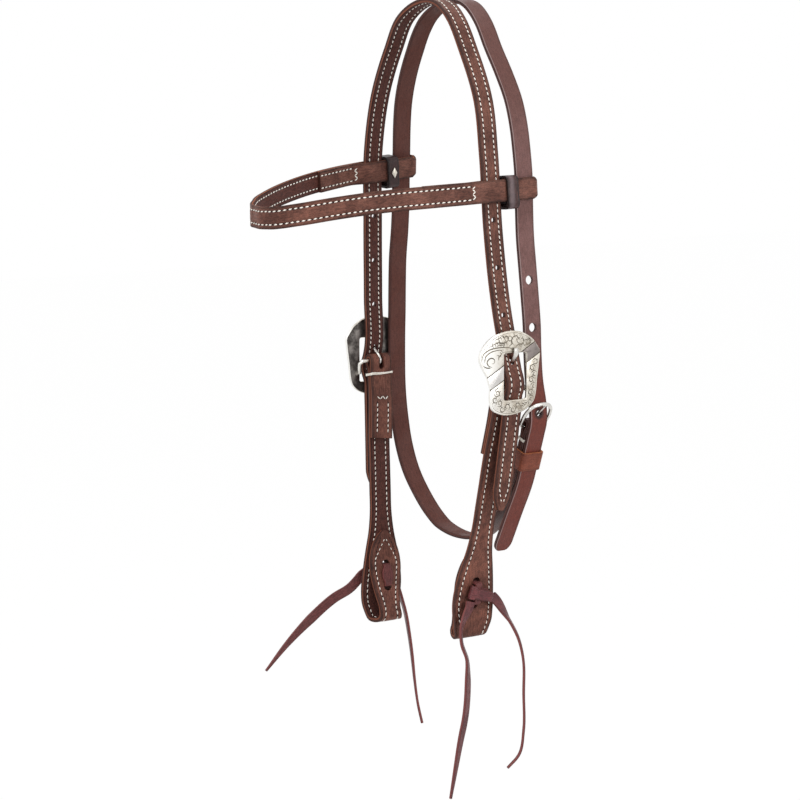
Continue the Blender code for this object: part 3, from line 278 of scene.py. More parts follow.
def finishStrap(strap, halfAt, plan, marks, frames, sewn=((), ()), seam=None):
    # presses the seams, notes each point's place for the leather, and lays the strap on its route
    mesh = strap.data
    half = plan["thickness"] / 2
    values = {"inset": [], "cut": [], "depth": [], "sewn": [], "beat": []}
    flat = []
    for vertex in mesh.vertices:
        along, across, out = vertex.co
        width = halfAt(along)
        inset = max((width - abs(across)) / min(1.0, width / plan["half"]), 0.0)
        cut = clamp((half - abs(out)) / plan["rounding"])
        stitched = sewnShare(along, sewn[0] if out > 0 else sewn[1])
        beat = readTable(seam, along) / plan["pitch"] if seam else 0.0
        for name, value in zip(values, (inset / mm, cut, out / half, stitched, beat)):
            values[name].append(value)
        flat.append((along, across))
        press = facePress(inset, plan, stitched) * (1.0 - cut)
        wave = pressPlan["wave"] * noise.noise(Vector((along * 30, across * 60, plan["thickness"] * 900)))
        vertex.co.z = out + math.copysign(1.0, out) * press + wave
    for name, numbers in values.items():
        mesh.attributes.new(name, "FLOAT", "POINT").data.foreach_set("value", numbers)
    while mesh.uv_layers:
        mesh.uv_layers.remove(mesh.uv_layers[0])
    strip = mesh.uv_layers.new(name="strap")
    for loop in mesh.loops:
        strip.data[loop.index].uv = flat[loop.vertex_index]
    layOn(mesh, marks, frames)
    choose(strap)
    bpy.ops.object.shade_smooth_by_angle(angle=math.radians(40.0))


def layOn(mesh, marks, frames):
    for vertex in mesh.vertices:
        along, across, out = vertex.co
        index, share = spotOn(marks, along)
        here, there = frames[index], frames[index + 1]
        vertex.co = (
            here[0].lerp(there[0], share)
            + here[1].lerp(there[1], share) * across
            + here[2].lerp(there[2], share) * out
        )
    mesh.update()


def settle(piece, body, slotName, material, *nodes):
    piece.data.materials.clear()
    piece.data.materials.append(material)
    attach(piece, body)
    if nodes:
        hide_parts(*nodes)
    return piece


def hangOn(piece, side, body, slotName, material, *nodes):
    # moves a piece made round the near bar to its buckle, mirrored for the off side
    if side == "off":
        piece.data.transform(Matrix.Scale(-1.0, 4, (1.0, 0.0, 0.0)))
        piece.data.flip_normals()
    piece.data.transform(Matrix.Translation(bars[side]))
    settle(piece, body, slotName, material, *nodes)


# shader tools
def setSockets(tree, item, values):
    for key, value in values.items():
        if isinstance(value, bpy.types.NodeSocket):
            tree.links.new(value, item.inputs[key])
        else:
            item.inputs[key].default_value = value


def addNode(tree, kind, values=None, **settings):
    item = tree.nodes.new(kind)
    for key, value in settings.items():
        setattr(item, key, value)
    setSockets(tree, item, values or {})
    return item


def calc(tree, operation, a, b=0.0, c=0.0, clamped=False):
    values = {0: a, 1: b, 2: c} if operation == "MULTIPLY_ADD" else {0: a, 1: b}
    return addNode(tree, "ShaderNodeMath", values, operation=operation, use_clamp=clamped).outputs[0]


def times(tree, a, b):
    return calc(tree, "MULTIPLY", a, b)


def gapFrom(tree, value, target):
    return calc(tree, "ABSOLUTE", calc(tree, "SUBTRACT", value, target))


def ramp(tree, value, low, high, first=0.0, last=1.0):
    values = {"Value": value, "From Min": low, "From Max": high, "To Min": first, "To Max": last}
    return addNode(tree, "ShaderNodeMapRange", values, interpolation_type="SMOOTHSTEP").outputs["Result"]


def noiseOf(tree, place, scale, detail, roughness=0.5, output="Fac"):
    values = {"Vector": place, "Scale": scale, "Detail": detail, "Roughness": roughness}
    return addNode(tree, "ShaderNodeTexNoise", values).outputs[output]


def stretched(tree, place, scale, turn=(0.0, 0.0, 0.0)):
    values = {"Vector": place, "Scale": scale, "Rotation": turn}
    return addNode(tree, "ShaderNodeMapping", values).outputs[0]


def partOf(tree, vector, letter):
    return addNode(tree, "ShaderNodeSeparateXYZ", {0: vector}).outputs[letter]


def tint(tree, share, first, last, mode="MIX"):
    first, last = (
        value if isinstance(value, bpy.types.NodeSocket) else (*value, 1.0) for value in (first, last))
    values = {0: share, 6: first, 7: last}
    return addNode(tree, "ShaderNodeMix", values, data_type="RGBA", blend_type=mode).outputs[2]


def tintAll(tree, colour, layers):
    for share, over in layers:
        colour = tint(tree, share, colour, over)
    return colour


def bumpFrom(tree, height, strength, distance):
    values = {"Height": height, "Strength": strength, "Distance": distance}
    return addNode(tree, "ShaderNodeBump", values).outputs["Normal"]


def newGroup(name, inputs, outputs):
    group = bpy.data.node_groups.new(name, "ShaderNodeTree")
    for label, kind in inputs.items():
        group.interface.new_socket(name=label, in_out="INPUT", socket_type="NodeSocket" + kind)
    for label in outputs:
        group.interface.new_socket(name=label, in_out="OUTPUT", socket_type="NodeSocketFloat")
    return group, group.nodes.new("NodeGroupInput").outputs, group.nodes.new("NodeGroupOutput")


def newMaterial(name):
    material = bpy.data.materials.new(name)
    material.use_nodes = True
    return material, material.node_tree, material.node_tree.nodes["Principled BSDF"]


def objectPlace(tree):
    return addNode(tree, "ShaderNodeTexCoord").outputs["Object"]


def makeHideGrain():
    # pebbled grain for the bump, slow mottle for the colour, fibres for the flesh side
    group, given, out = newGroup(
        "hideGrain", {"Place": "Vector", "Size": "Float"}, ("Height", "Mottle", "Fibre"))
    scaled = {0: given["Place"], "Scale": given["Size"]}
    place = addNode(group, "ShaderNodeVectorMath", scaled, operation="SCALE").outputs[0]
    bent = {0: noiseOf(group, place, 0.9, 3.0, output="Color"), 1: (0.7, 0.7, 0.7), 2: place}
    bent = addNode(group, "ShaderNodeVectorMath", bent, operation="MULTIPLY_ADD").outputs[0]
    cells = addNode(
        group, "ShaderNodeTexVoronoi", {"Vector": bent, "Scale": 1.0}, feature="DISTANCE_TO_EDGE")
    pebble = ramp(group, cells.outputs["Distance"], 0.0, 0.28)
    fine = noiseOf(group, place, 2.6, 4.0)
    patch = noiseOf(group, given["Place"], 55.0, 5.0, 0.62)
    setSockets(group, out, {
        "Height": calc(group, "MULTIPLY_ADD", fine, 0.55, pebble),
        "Mottle": ramp(group, patch, 0.32, 0.68),
        "Fibre": noiseOf(group, place, 1.5, 8.0, 0.7),
    })
    return group


def makeSeamShadeAndWear():
    # a seam's pressed groove and its needle holes, both for painted shade, and the rubbed rim of the strap,
    # all in millimetres
    labels = ("Inset", "Beat", "Row", "Pitch", "Mottle")
    group, given, out = newGroup("seamShadeAndWear", dict.fromkeys(labels, "Float"), ("Groove", "Needle", "Rub"))
    gap = gapFrom(group, given["Inset"], given["Row"])
    beat = calc(group, "PINGPONG", calc(group, "FRACT", given["Beat"]), 0.5)
    apart = times(group, beat, given["Pitch"])
    spread = calc(group, "ADD", calc(group, "POWER", gap, 2.0), calc(group, "POWER", apart, 2.0))
    rim = ramp(group, given["Inset"], 0.15, 1.3, 1.0, 0.0)
    setSockets(group, out, {
        "Groove": ramp(group, gap, 0.25, 1.05, 1.0, 0.0),
        "Needle": ramp(group, calc(group, "SQRT", spread), 0.42, 0.85, 1.0, 0.0),
        "Rub": times(group, rim, ramp(group, given["Mottle"], 0.25, 0.85)),
    })
    return group


hideGrain = makeHideGrain()
seamShadeAndWear = makeSeamShadeAndWear()
# the needle-hole dots and the shadow round the buckled hole are painted shade; the middle colour is the
# dark line between plies
needleDark, gapDark, holeShadowDark = (0.009, 0.005, 0.005), (0.016, 0.008, 0.007), (0.022, 0.009, 0.008)


def makeLeather(name, plan):
    material, tree, shader = newMaterial(name)
    place = objectPlace(tree)
    strip = addNode(tree, "ShaderNodeUVMap", uv_map="strap").outputs["UV"]
    cut, depth, inset, sewn, beat = (
        addNode(tree, "ShaderNodeAttribute", attribute_name=kind).outputs["Fac"]
        for kind in ("cut", "depth", "inset", "sewn", "beat"))
    grain = {"Place": place, "Size": plan["grainScale"]}
    grain = addNode(tree, "ShaderNodeGroup", grain, node_tree=hideGrain).outputs
    mottle = grain["Mottle"]
    wrinkle = noiseOf(tree, stretched(tree, strip, (900.0, 120.0, 1.0)), 1.0, 3.0)
    streak = noiseOf(tree, stretched(tree, strip, (230.0, 800.0, 1.0)), 1.0, 4.0, 0.65)
    outside = ramp(tree, depth, -0.05, 0.05)
    face = tint(tree, mottle, plan["dark"], plan["face"])
    if "warm" in plan:
        # lengths along the throatlatch that are browner, and the two ends redder; the mauve face between
        # them is a painted sheen
        along = partOf(tree, strip, "X")
        tip, fold = ramp(tree, along, 0.985, 1.035), ramp(tree, along, 0.060, 0.110, 1.0, 0.0)
        face = tintAll(tree, face, (
            (ramp(tree, along, 0.79, 0.88, 0.85, 0.0), plan["brown"]),
            (calc(tree, "MAXIMUM", tip, fold), plan["warm"])))
    flesh = tint(tree, ramp(tree, grain["Fibre"], 0.35, 0.66), plan["fleshDark"], plan["flesh"])
    # pores, burnished edges and long streaks darken both sides
    shade = ramp(tree, grain["Height"], 0.25, 0.85, 0.60, 1.0)
    shade = times(tree, shade, ramp(tree, inset, 0.4, plan["burnish"], plan["burnishDark"], 1.0))
    shade = times(tree, shade, ramp(tree, streak, 0.36, 0.62, plan.get("streak", 0.62), 1.12))
    shade = addNode(tree, "ShaderNodeCombineColor", {0: shade, 1: shade, 2: shade}).outputs[0]
    colour = tint(tree, 1.0, tint(tree, outside, flesh, face), shade, "MULTIPLY")
    height = calc(tree, "MULTIPLY_ADD", wrinkle, 0.9, grain["Height"])
    layers = []
    if "row" in plan:
        shadeAndWear = {"Inset": inset, "Beat": beat, "Mottle": mottle}
        shadeAndWear.update({"Row": plan["row"], "Pitch": plan["pitch"] / mm})
        shadeAndWear = addNode(tree, "ShaderNodeGroup", shadeAndWear, node_tree=seamShadeAndWear).outputs
        # painted shade in the seam's groove and its needle holes, and the rubbed rim in the edge colour
        layers += [
            (times(tree, shadeAndWear["Groove"], times(tree, sewn, 0.50)), plan["seam"]),
            (times(tree, shadeAndWear["Needle"], times(tree, sewn, 0.94)), needleDark),
            (times(tree, shadeAndWear["Rub"], plan["rub"]), plan["edge"]),
        ]
    if "crease" in plan:
        line = ramp(tree, gapFrom(tree, inset, plan["crease"]), 0.10, 0.34, 1.0, 0.0)
        layers.append((times(tree, line, 0.65), plan["seam"]))
        height = calc(tree, "MULTIPLY_ADD", line, -1.6, height)
    if "paintedGlint" in plan:
        # a painted highlight: a light line inside one edge, where the bevelled edge would catch the light
        line = ramp(tree, gapFrom(tree, inset, 0.75), 0.15, 0.60, 0.60, 0.0)
        line = times(tree, line, ramp(tree, partOf(tree, strip, "Y"), -0.001, 0.001, 1.0, 0.0))
        layers.append((times(tree, line, outside), plan["paintedGlint"]))
    if "paintedHighlight" in plan:
        # a painted highlight: a light stripe down the front, at one place across it
        gap = gapFrom(tree, partOf(tree, place, "Y"), plan["paintedHighlightAt"])
        paintedShine = times(tree, ramp(tree, gap, 0.0004, 0.0034, 0.62, 0.0), outside)
        layers.append((times(tree, paintedShine, ramp(tree, mottle, 0.0, 0.7, 0.55, 1.0)), plan["paintedHighlight"]))
    if "holeShadowAt" in plan:
        # a painted shadow round the buckled hole
        spot = {0: place, 1: plan["holeShadowAt"]}
        gap = addNode(tree, "ShaderNodeVectorMath", spot, operation="DISTANCE").outputs["Value"]
        layers.append((ramp(tree, gap, 0.0036, 0.0056, 0.90, 0.0), holeShadowDark))
    colour = tintAll(tree, colour, layers)
    # the cut edge: painted darker towards the grain face as shade of the bevelled edge, darker at the
    # strap's ends and in its holes, with the line between two plies
    layers = [
        (ramp(tree, mottle, 0.0, 1.0, 0.0, 0.35), plan["edgeDark"]),
        (ramp(tree, inset, 0.35, 0.80, 0.0, 0.85), plan["seam"]),
    ]
    if "ply" in plan:
        layers.append((ramp(tree, gapFrom(tree, depth, plan["ply"]), 0.06, 0.20, 0.8, 0.0), gapDark))
    wall = tint(tree, ramp(tree, depth, -0.45, 0.55), plan["edge"], plan["edgeDark"])
    wall = tintAll(tree, wall, layers)
    roughness = ramp(tree, mottle, 0.0, 1.0, plan["roughness"] + 0.10, plan["roughness"] - 0.06)
    roughness = calc(tree, "MULTIPLY_ADD", calc(tree, "SUBTRACT", 1.0, outside), 0.16, roughness)
    setSockets(tree, shader, {
        "Base Color": tint(tree, ramp(tree, cut, 0.35, 0.95), colour, wall),
        "Roughness": calc(tree, "MULTIPLY_ADD", cut, 0.10, roughness, clamped=True),
        "Normal": bumpFrom(tree, height, plan["bump"], 0.00012),
        "Specular IOR Level": plan.get("specular", 0.22),
    })
    return material


def makeThread(name, light, dark):
    material, tree, shader = newMaterial(name)
    place = objectPlace(tree)
    twist = noiseOf(tree, place, 2600.0, 3.0)
    dirt = noiseOf(tree, place, 140.0, 2.0)
    colour = tint(tree, ramp(tree, twist, 0.3, 0.65), dark, light)
    setSockets(tree, shader, {
        "Base Color": tint(tree, ramp(tree, dirt, 0.55, 0.78, 0.0, 0.45), colour, dark),
        "Normal": bumpFrom(tree, twist, 0.5, 0.0002),
        "Roughness": 0.62,
    })
    return material


def makeMetal(name, plan):
    # cloudy tarnish and fine scratches, and towards the front a brighter colour, a painted highlight
    material, tree, shader = newMaterial(name)
    place = objectPlace(tree)
    cloud = ramp(tree, noiseOf(tree, place, plan["cloud"], 5.0, 0.6), 0.38, 0.68)
    hair = noiseOf(tree, stretched(tree, place, (900.0, 5200.0, 900.0), (0.6, 0.0, 0.0)), 1.0, 2.0)
    colour = tint(tree, cloud, plan["light"], plan["dark"])
    if "lobe" in plan:
        front = ramp(tree, partOf(tree, place, "Y"), -0.016, 0.0, 0.8, 0.0)
        colour = tint(tree, front, colour, plan["lobe"])
    rough = calc(tree, "MULTIPLY_ADD", cloud, plan["stain"], plan["roughness"])
    setSockets(tree, shader, {
        "Base Color": colour,
        "Roughness": calc(tree, "MULTIPLY_ADD", hair, 0.10, rough, clamped=True),
        "Normal": bumpFrom(tree, hair, plan["bump"], 0.00005),
        "Metallic": 1.0,
    })
    return material


# face and flesh are the two sides, edge and seam the cut; row, crease and insets are in millimetres
harnessPlan = {
    "face": (0.225, 0.086, 0.058), "dark": (0.118, 0.043, 0.03), "flesh": (0.145, 0.048, 0.036),
    "fleshDark": (0.08, 0.026, 0.02), "seam": (0.04, 0.013, 0.01), "edge": (0.215, 0.072, 0.042),
    "edgeDark": (0.055, 0.022, 0.018), "rub": 0.14, "roughness": 0.5, "grainScale": 1150, "bump": 0.55,
    "row": 3.4, "pitch": 4 * mm, "burnish": 2.3, "burnishDark": 0.42, "ply": 0.1,
}
crownHide = makeLeather("crownHide", dict(harnessPlan, row=3.7))
browHide = makeLeather(
    "browHide",
    dict(harnessPlan, row=3.4, pitch=4.25 * mm, face=(0.24, 0.095, 0.066), edge=(0.33, 0.11, 0.055)),
)
cheekHide = makeLeather(
    "cheekHide",
    dict(harnessPlan, pitch=4.1 * mm, row=4.3, face=(0.265, 0.096, 0.064), dark=(0.125, 0.045, 0.032)),
)
# the throatlatch's mauve face colour is partly a painted sheen
throatHide = makeLeather("throatHide", {
    "face": (0.22, 0.106, 0.098), "dark": (0.165, 0.076, 0.068), "flesh": (0.14, 0.046, 0.034),
    "fleshDark": (0.098, 0.032, 0.024), "warm": (0.172, 0.038, 0.026), "brown": (0.135, 0.054, 0.044),
    "seam": (0.05, 0.017, 0.014), "edge": (0.11, 0.04, 0.032), "edgeDark": (0.038, 0.018, 0.017),
    "rub": 0.2, "roughness": 0.44, "grainScale": 1500, "bump": 0.25, "crease": 1.3, "burnish": 1.4,
    "burnishDark": 0.65, "specular": 0.25, "streak": 0.86, "paintedGlint": (0.4, 0.29, 0.28),
    "holeShadowAt": (0.09155, 0.03304, -0.30957),
})
keeperLook = {
    "face": (0.092, 0.038, 0.035), "dark": (0.046, 0.018, 0.017), "flesh": (0.04, 0.016, 0.014),
    "fleshDark": (0.022, 0.009, 0.009), "seam": (0.012, 0.005, 0.005), "edge": (0.022, 0.009, 0.008),
    "edgeDark": (0.006, 0.003, 0.003), "rub": 0.1, "roughness": 0.32, "grainScale": 1500, "bump": 0.22,
    "crease": 1.1, "burnish": 1.8, "burnishDark": 0.35, "specular": 0.32,
}
# the near keeper's leather carries a painted highlight; the off keeper's is the same leather painted darker
# as shade
litKeeperHide = makeLeather("litKeeperHide", dict(keeperLook, paintedHighlight=(0.225, 0.175, 0.185), paintedHighlightAt=11.2 * mm))
shadedKeeperHide = makeLeather(
    "shadedKeeperHide", dict(keeperLook, face=(0.058, 0.022, 0.022), dark=(0.028, 0.01, 0.01)),
)
tanHide = makeLeather("tanHide", {
    "face": (0.285, 0.078, 0.042), "dark": (0.185, 0.05, 0.03), "flesh": (0.3, 0.1, 0.045),
    "fleshDark": (0.18, 0.056, 0.026), "seam": (0.09, 0.026, 0.016), "edge": (0.48, 0.17, 0.07),
    "edgeDark": (0.33, 0.105, 0.045), "rub": 0.2, "roughness": 0.42, "grainScale": 1300, "bump": 0.28,
    "crease": 1.5, "burnish": 1.4, "burnishDark": 0.8, "streak": 0.88,
})
laceHide = makeLeather("laceHide", {
    "face": (0.185, 0.045, 0.047), "dark": (0.11, 0.026, 0.03), "flesh": (0.2, 0.055, 0.052),
    "fleshDark": (0.12, 0.033, 0.033), "seam": (0.05, 0.013, 0.016), "edge": (0.22, 0.06, 0.054),
    "edgeDark": (0.13, 0.035, 0.035), "rub": 0.2, "roughness": 0.42, "grainScale": 1400, "bump": 0.28,
    "burnish": 1, "burnishDark": 0.85, "specular": 0.35,
})
cream = makeThread("waxedCream", (0.98, 0.96, 0.91), (0.76, 0.68, 0.57))
silver = makeMetal("brightCutSilver", {
    "lobe": (0.97, 0.96, 0.93), "light": (0.78, 0.735, 0.65), "dark": (0.46, 0.41, 0.34), "cloud": 170,
    "stain": 0.16, "roughness": 0.24, "bump": 0.1,
})
bandSilver = makeMetal("polishedBand", {
    "light": (0.72, 0.7, 0.68), "dark": (0.58, 0.56, 0.54), "cloud": 90, "stain": 0.08, "roughness": 0.18,
    "bump": 0.1,
})
# the far half of each band, painted darker as shade where it turns from the light, and rougher
shadedBand = makeMetal("shadedBrushedBand", {
    "light": (0.27, 0.235, 0.222), "dark": (0.17, 0.148, 0.14), "cloud": 120, "stain": 0.14,
    "roughness": 0.34, "bump": 0.35,
})
oldSilver = makeMetal("antiquedBack", {
    "light": (0.24, 0.22, 0.205), "dark": (0.065, 0.058, 0.054), "cloud": 120, "stain": 0.2,
    "roughness": 0.36, "bump": 0.14,
})
blackening = makeMetal("engravedBlack", {
    "light": (0.205, 0.178, 0.14), "dark": (0.085, 0.073, 0.058), "cloud": 400, "stain": 0.1,
    "roughness": 0.45, "bump": 0.2,
})
nickel = makeMetal("nickelWire", {
    "light": (0.74, 0.72, 0.68), "dark": (0.58, 0.56, 0.53), "cloud": 180, "stain": 0.1, "roughness": 0.18,
    "bump": 0.25,
})
print("leathers, thread and metals mixed")


# lace tails, the free cords
def straightBack(place, share):
    return Vector((0.0, 1.0, 0.0))


tailPlan = {
    "thickness": 2.1 * mm, "half": 3.9 * mm, "step": 2.2 * mm, "insets": (0, 0.8 * mm, 2 * mm),
    "rounding": 0.3 * mm, "rootHalf": 3.9 * mm, "tipHalf": 0.7 * mm, "taper": 55 * mm,
}
# side, then the flat lace's sideways direction at shares of its length, then its route
tailRoutes = {
    "nearFrontTail": (
        "near",
        (
            (0, (0, 0.961, -0.276)), (0.07, (-0.35, 0.9, -0.1)), (0.15, (-0.74, 0.67, 0)),
            (0.28, (-0.79, 0.61, 0)), (0.42, (-0.5, 0.87, 0)), (0.7, (-0.4, 0.92, 0)), (1, (-0.3, 0.95, 0)),
        ),
        [
            (68, -13, -454), (68.3, -14.3, -458.4), (68.6, -17.8, -463.8), (68.6, -21.6, -471.5),
            (68, -21.6, -484), (67, -15.4, -499.8), (66, -14, -512), (65, -15.1, -542.8), (63, -19, -565.6),
            (61, -21.7, -586), (59, -25.1, -609.5),
        ],
    ),
    "nearBackTail": (
        "near",
        ((0, (0, 0.8, 0.6)), (0.07, (-0.3, 0.85, 0.35)), (0.17, (-0.81, 0.58, 0)), (1, (-0.79, 0.61, 0))),
        [
            (67.9, 7.9, -452.2), (68.4, 12.2, -456.6), (68.6, 17, -463), (69, 23.4, -472.5),
            (70, 32.6, -489.8), (71, 35.7, -503.1), (72, 35.9, -533.4), (72, 35.9, -561.9),
            (70, 33.1, -581.3), (68, 23.4, -590.9),
        ],
    ),
    "offFrontTail": ("off", ((0, (0, 0, 1)), (1, (0, -0.4, 1))), [
        (-68, -16, -452.7), (-68.7, -19.4, -454.7), (-69.8, -23.2, -459), (-72, -29, -465.1),
        (-78, -39.7, -472.6), (-84, -59.1, -488.7), (-88, -78.2, -506.5), (-90, -98, -527),
    ]),
    "offBackTail": ("off", ((0, (1, -0.3, 0)), (1, (0.8, -0.6, 0))), [
        (-68, 9.4, -459.4), (-68.4, 12.2, -462.6), (-68.2, 15.6, -469.8), (-67, 18.1, -478.9),
        (-66, 20.9, -489.5), (-65.5, 24.3, -507.2), (-64.5, 26.3, -523.5), (-63.5, 28.5, -547),
        (-62, 30.9, -567.4), (-61, 34.4, -583.6),
    ]),
}
tailNodes = {
    "nearFrontTail": "near_lace_tail_front", "nearBackTail": "near_lace_tail_back",
    "offFrontTail": "off_lace_tail_front", "offBackTail": "off_lace_tail_back",
}


def makeTail(name, side, twist, points):
    route = [point * mm for point in smoothRoute(points, 8)]
    keys = [(share, Vector(way)) for share, way in twist]

    def acrossAt(place, share):
        for (start, before), (end, after) in zip(keys, keys[1:]):
            if share <= end:
                return before.lerp(after, (share - start) / (end - start))
        return keys[-1][1]

    marks, frames = routeFrames(route, acrossAt)
    length = marks[-1]

    def halfAt(mark):
        share = min((length - mark) / tailPlan["taper"], 1.0)
        return tailPlan["tipHalf"] + (tailPlan["rootHalf"] - tailPlan["tipHalf"]) * share

    tail = benchStrap(name, length, halfAt, tailPlan)
    finishStrap(tail, halfAt, tailPlan, marks, frames)
    settle(tail, side + "_cheekpiece", "latigo_leather", laceHide, tailNodes[name])
    print(name, "length", round(length, 4))


for tailName, (tailSide, tailTwist, tailPoints) in tailRoutes.items():
    makeTail(tailName, tailSide, tailTwist, tailPoints)
print("lace tails hung")


# stitching
stitchPlan = {"length": 2.85 * mm, "width": 1.12 * mm, "height": 0.74 * mm, "sink": 0.1 * mm, "lean": 0.12}


def makeStitch():
    bead = startFrom(bpy.ops.mesh.primitive_uv_sphere_add, segments=8, ring_count=5, radius=0.5)
    bead.data.transform(Matrix.Rotation(math.radians(90.0), 4, "Y"))
    for vertex in bead.data.vertices:
        bulge = 0.78 + 0.22 * math.cos(vertex.co.x * math.pi * 2)
        vertex.co.y *= bulge / 0.9
    size = (stitchPlan["length"], stitchPlan["width"], stitchPlan["height"], 1.0)
    bead.data.transform(Matrix.Diagonal(size))
    corners = [vertex.co.copy() for vertex in bead.data.vertices]
    faces = [tuple(face.vertices) for face in bead.data.polygons]
    bpy.data.objects.remove(bead, do_unlink=True)
    return corners, faces


stitchCorners, stitchFaces = makeStitch()


def sewPiece(name, stitches, thickness, marks, frames, bold=1.0):
    # one copy of the stitch for each (along, across, angle, side, stretch)
    corners, faces = [], []
    lift = thickness / 2 - stitchPlan["sink"]
    for along, across, angle, side, stretch in stitches:
        start = len(corners)
        jitter = math.radians(shuffle.uniform(-4.0, 4.0))
        turn = Matrix.Rotation(angle + jitter, 4, "Z")
        for corner in stitchCorners:
            spot = turn @ Vector((corner.x * stretch, corner.y * bold, corner.z))
            corners.append((along + spot.x, across + spot.y, side * (lift + spot.z)))
        for face in stitchFaces:
            order = face if side > 0 else face[::-1]
            faces.append(tuple(start + index for index in order))
    mesh = bpy.data.meshes.new(name)
    mesh.from_pydata(corners, [], faces)
    layOn(mesh, marks, frames)
    piece = addPiece(name, mesh)
    choose(piece)
    bpy.ops.object.shade_smooth()
    return piece


def stitchRow(start, end, pitch, rowAt, seam, sides=(1, -1)):
    stitches = []
    back = [(arc, mark) for mark, arc in seam]
    for number in range(int(seam[-1][1] / pitch) + 1):
        along = readTable(back, (number + 0.5) * pitch)
        if not start <= along <= end:
            continue
        slope = (rowAt(along + mm) - rowAt(along - mm)) / (2 * mm)
        for rail in (1, -1):
            for side in sides:
                angle = math.atan(rail * slope) + stitchPlan["lean"] * side
                stitches.append((along, rail * rowAt(along), angle, side, 1.0))
    return stitches


def sewRows(outer, inner, pitch, rowAt, seam):
    stitches = []
    for spans, side in ((outer, 1), (inner, -1)):
        for start, end in spans:
            stitches += stitchRow(start, end, pitch, rowAt, seam, (side,))
    return stitches


def zigzag(marks, plan):
    # slanted stitches across the strap, where the upper ply ends
    stitches = []
    for mark in marks:
        for number in range(plan["count"]):
            across = (plan["first"] - plan["apart"] * number) * mm
            lean = plan["lean"] * (-1 if number % 2 else 1)
            stitches.append((mark, across, lean, 1, plan["stretch"]))
    return stitches


# crown strap; held is how far along it the two buckled holes are
crownPlan = {
    "thickness": 3.6 * mm, "half": 7.95 * mm, "step": 2 * mm, "rounding": 0.36 * mm, "rowInset": 3.7 * mm,
    "fineEnd": 16 * mm, "pitch": 4 * mm,
    "insets": (0, 1.2 * mm, 2.6 * mm, 3.2 * mm, 3.7 * mm, 4.2 * mm, 4.8 * mm, 6 * mm), "tipLength": 16 * mm,
    "tipHalf": 2.5 * mm, "held": {"near": 731.82 * mm, "off": 116.59 * mm},
    "heldPunch": (2.3 * mm, 0.8 * mm), "heldAcross": 0.24 * mm, "lean": {"near": -0.585, "off": 0.589},
    "holePitch": 36 * mm, "holeRadius": 2.1 * mm, "bold": 0.94,
}
crownPoints = [
    (-82.9, 3.5, -388.5), (-86.04, 4.98, -352.1), (-89.1, 6.42, -315.7), (-90.1, 6.9, -308),
    (-90.9, 7.3, -303.6), (-92.3, 7.5, -300.2), (-94.7, 7.5, -296), (-95.9, 7.5, -291), (-94.9, 7.5, -286),
    (-92.7, 7.5, -281.3), (-91.4, 7.5, -277.22), (-84.55, 3, -232.91), (-79.06, -0.9, -173.17),
    (-75.41, -2.55, -114.28), (-67.64, -1.8, -74.45), (-48.62, -1.8, -35.75), (-32.45, -1.5, -11.86),
    (-16.45, 0.75, -1.61), (0, 2.25, 1.8), (16.45, 0.75, -1.54), (32.45, -1.5, -11.57),
    (48.62, -1.8, -34.96), (67.64, -1.8, -72.84), (75.41, -2.55, -111.83), (79.06, -0.9, -169.48),
    (84.55, 3, -227.96), (91.4, 7.5, -271.22), (92.7, 7.5, -275.3), (94.9, 7.5, -280), (95.9, 7.6, -285),
    (94.7, 7.8, -290), (92.3, 8.2, -294.2), (90.9, 9, -297.6), (90.1, 9.6, -302), (89.1, 9.3, -309.7),
    (86.04, 6.6, -346.1), (82.9, 3.5, -382.5),
]


def makeCrown():
    plan = crownPlan
    route = [point * mm for point in smoothRoute(crownPoints, 12)]
    marks, frames = routeFrames(route, straightBack)
    length = marks[-1]

    def endGap(mark):
        return min(max(mark, 0.0), max(length - mark, 0.0))

    def halfAt(mark):
        share = min(endGap(mark) / plan["tipLength"], 1.0)
        return plan["tipHalf"] + (plan["half"] - plan["tipHalf"]) * math.sin(share * math.pi / 2)

    def rowAt(mark):
        share = min(endGap(mark) / plan["half"] / 2.2, 1.0)
        return (plan["half"] - plan["rowInset"]) * clamp(share * 1.45 - 0.45) ** 0.75

    strap = benchStrap("crownLeather", length, halfAt, plan)
    for side, held in plan["held"].items():
        punchHole(strap, held, *plan["heldPunch"], plan["lean"][side], plan["heldAcross"])
        for number in (1, 2, 3):
            punchHole(strap, held - sideSign[side] * number * plan["holePitch"], plan["holeRadius"])
    spans = ((5 * mm, length - 5 * mm),)
    seam = seamTable(length, rowAt)
    finishStrap(strap, halfAt, plan, marks, frames, (spans, spans), seam)
    settle(strap, "headstall", "harness_leather", crownHide, "crown_strap")
    stitches = stitchRow(5.6 * mm, length - 5.6 * mm, plan["pitch"], rowAt, seam)
    thread = sewPiece("crownStitches", stitches, plan["thickness"], marks, frames, plan["bold"])
    settle(thread, "headstall", "waxed_thread", cream)
    print("crown length", round(length, 4), "stitches", len(stitches))


makeCrown()
print("crown cut, punched and sewn")


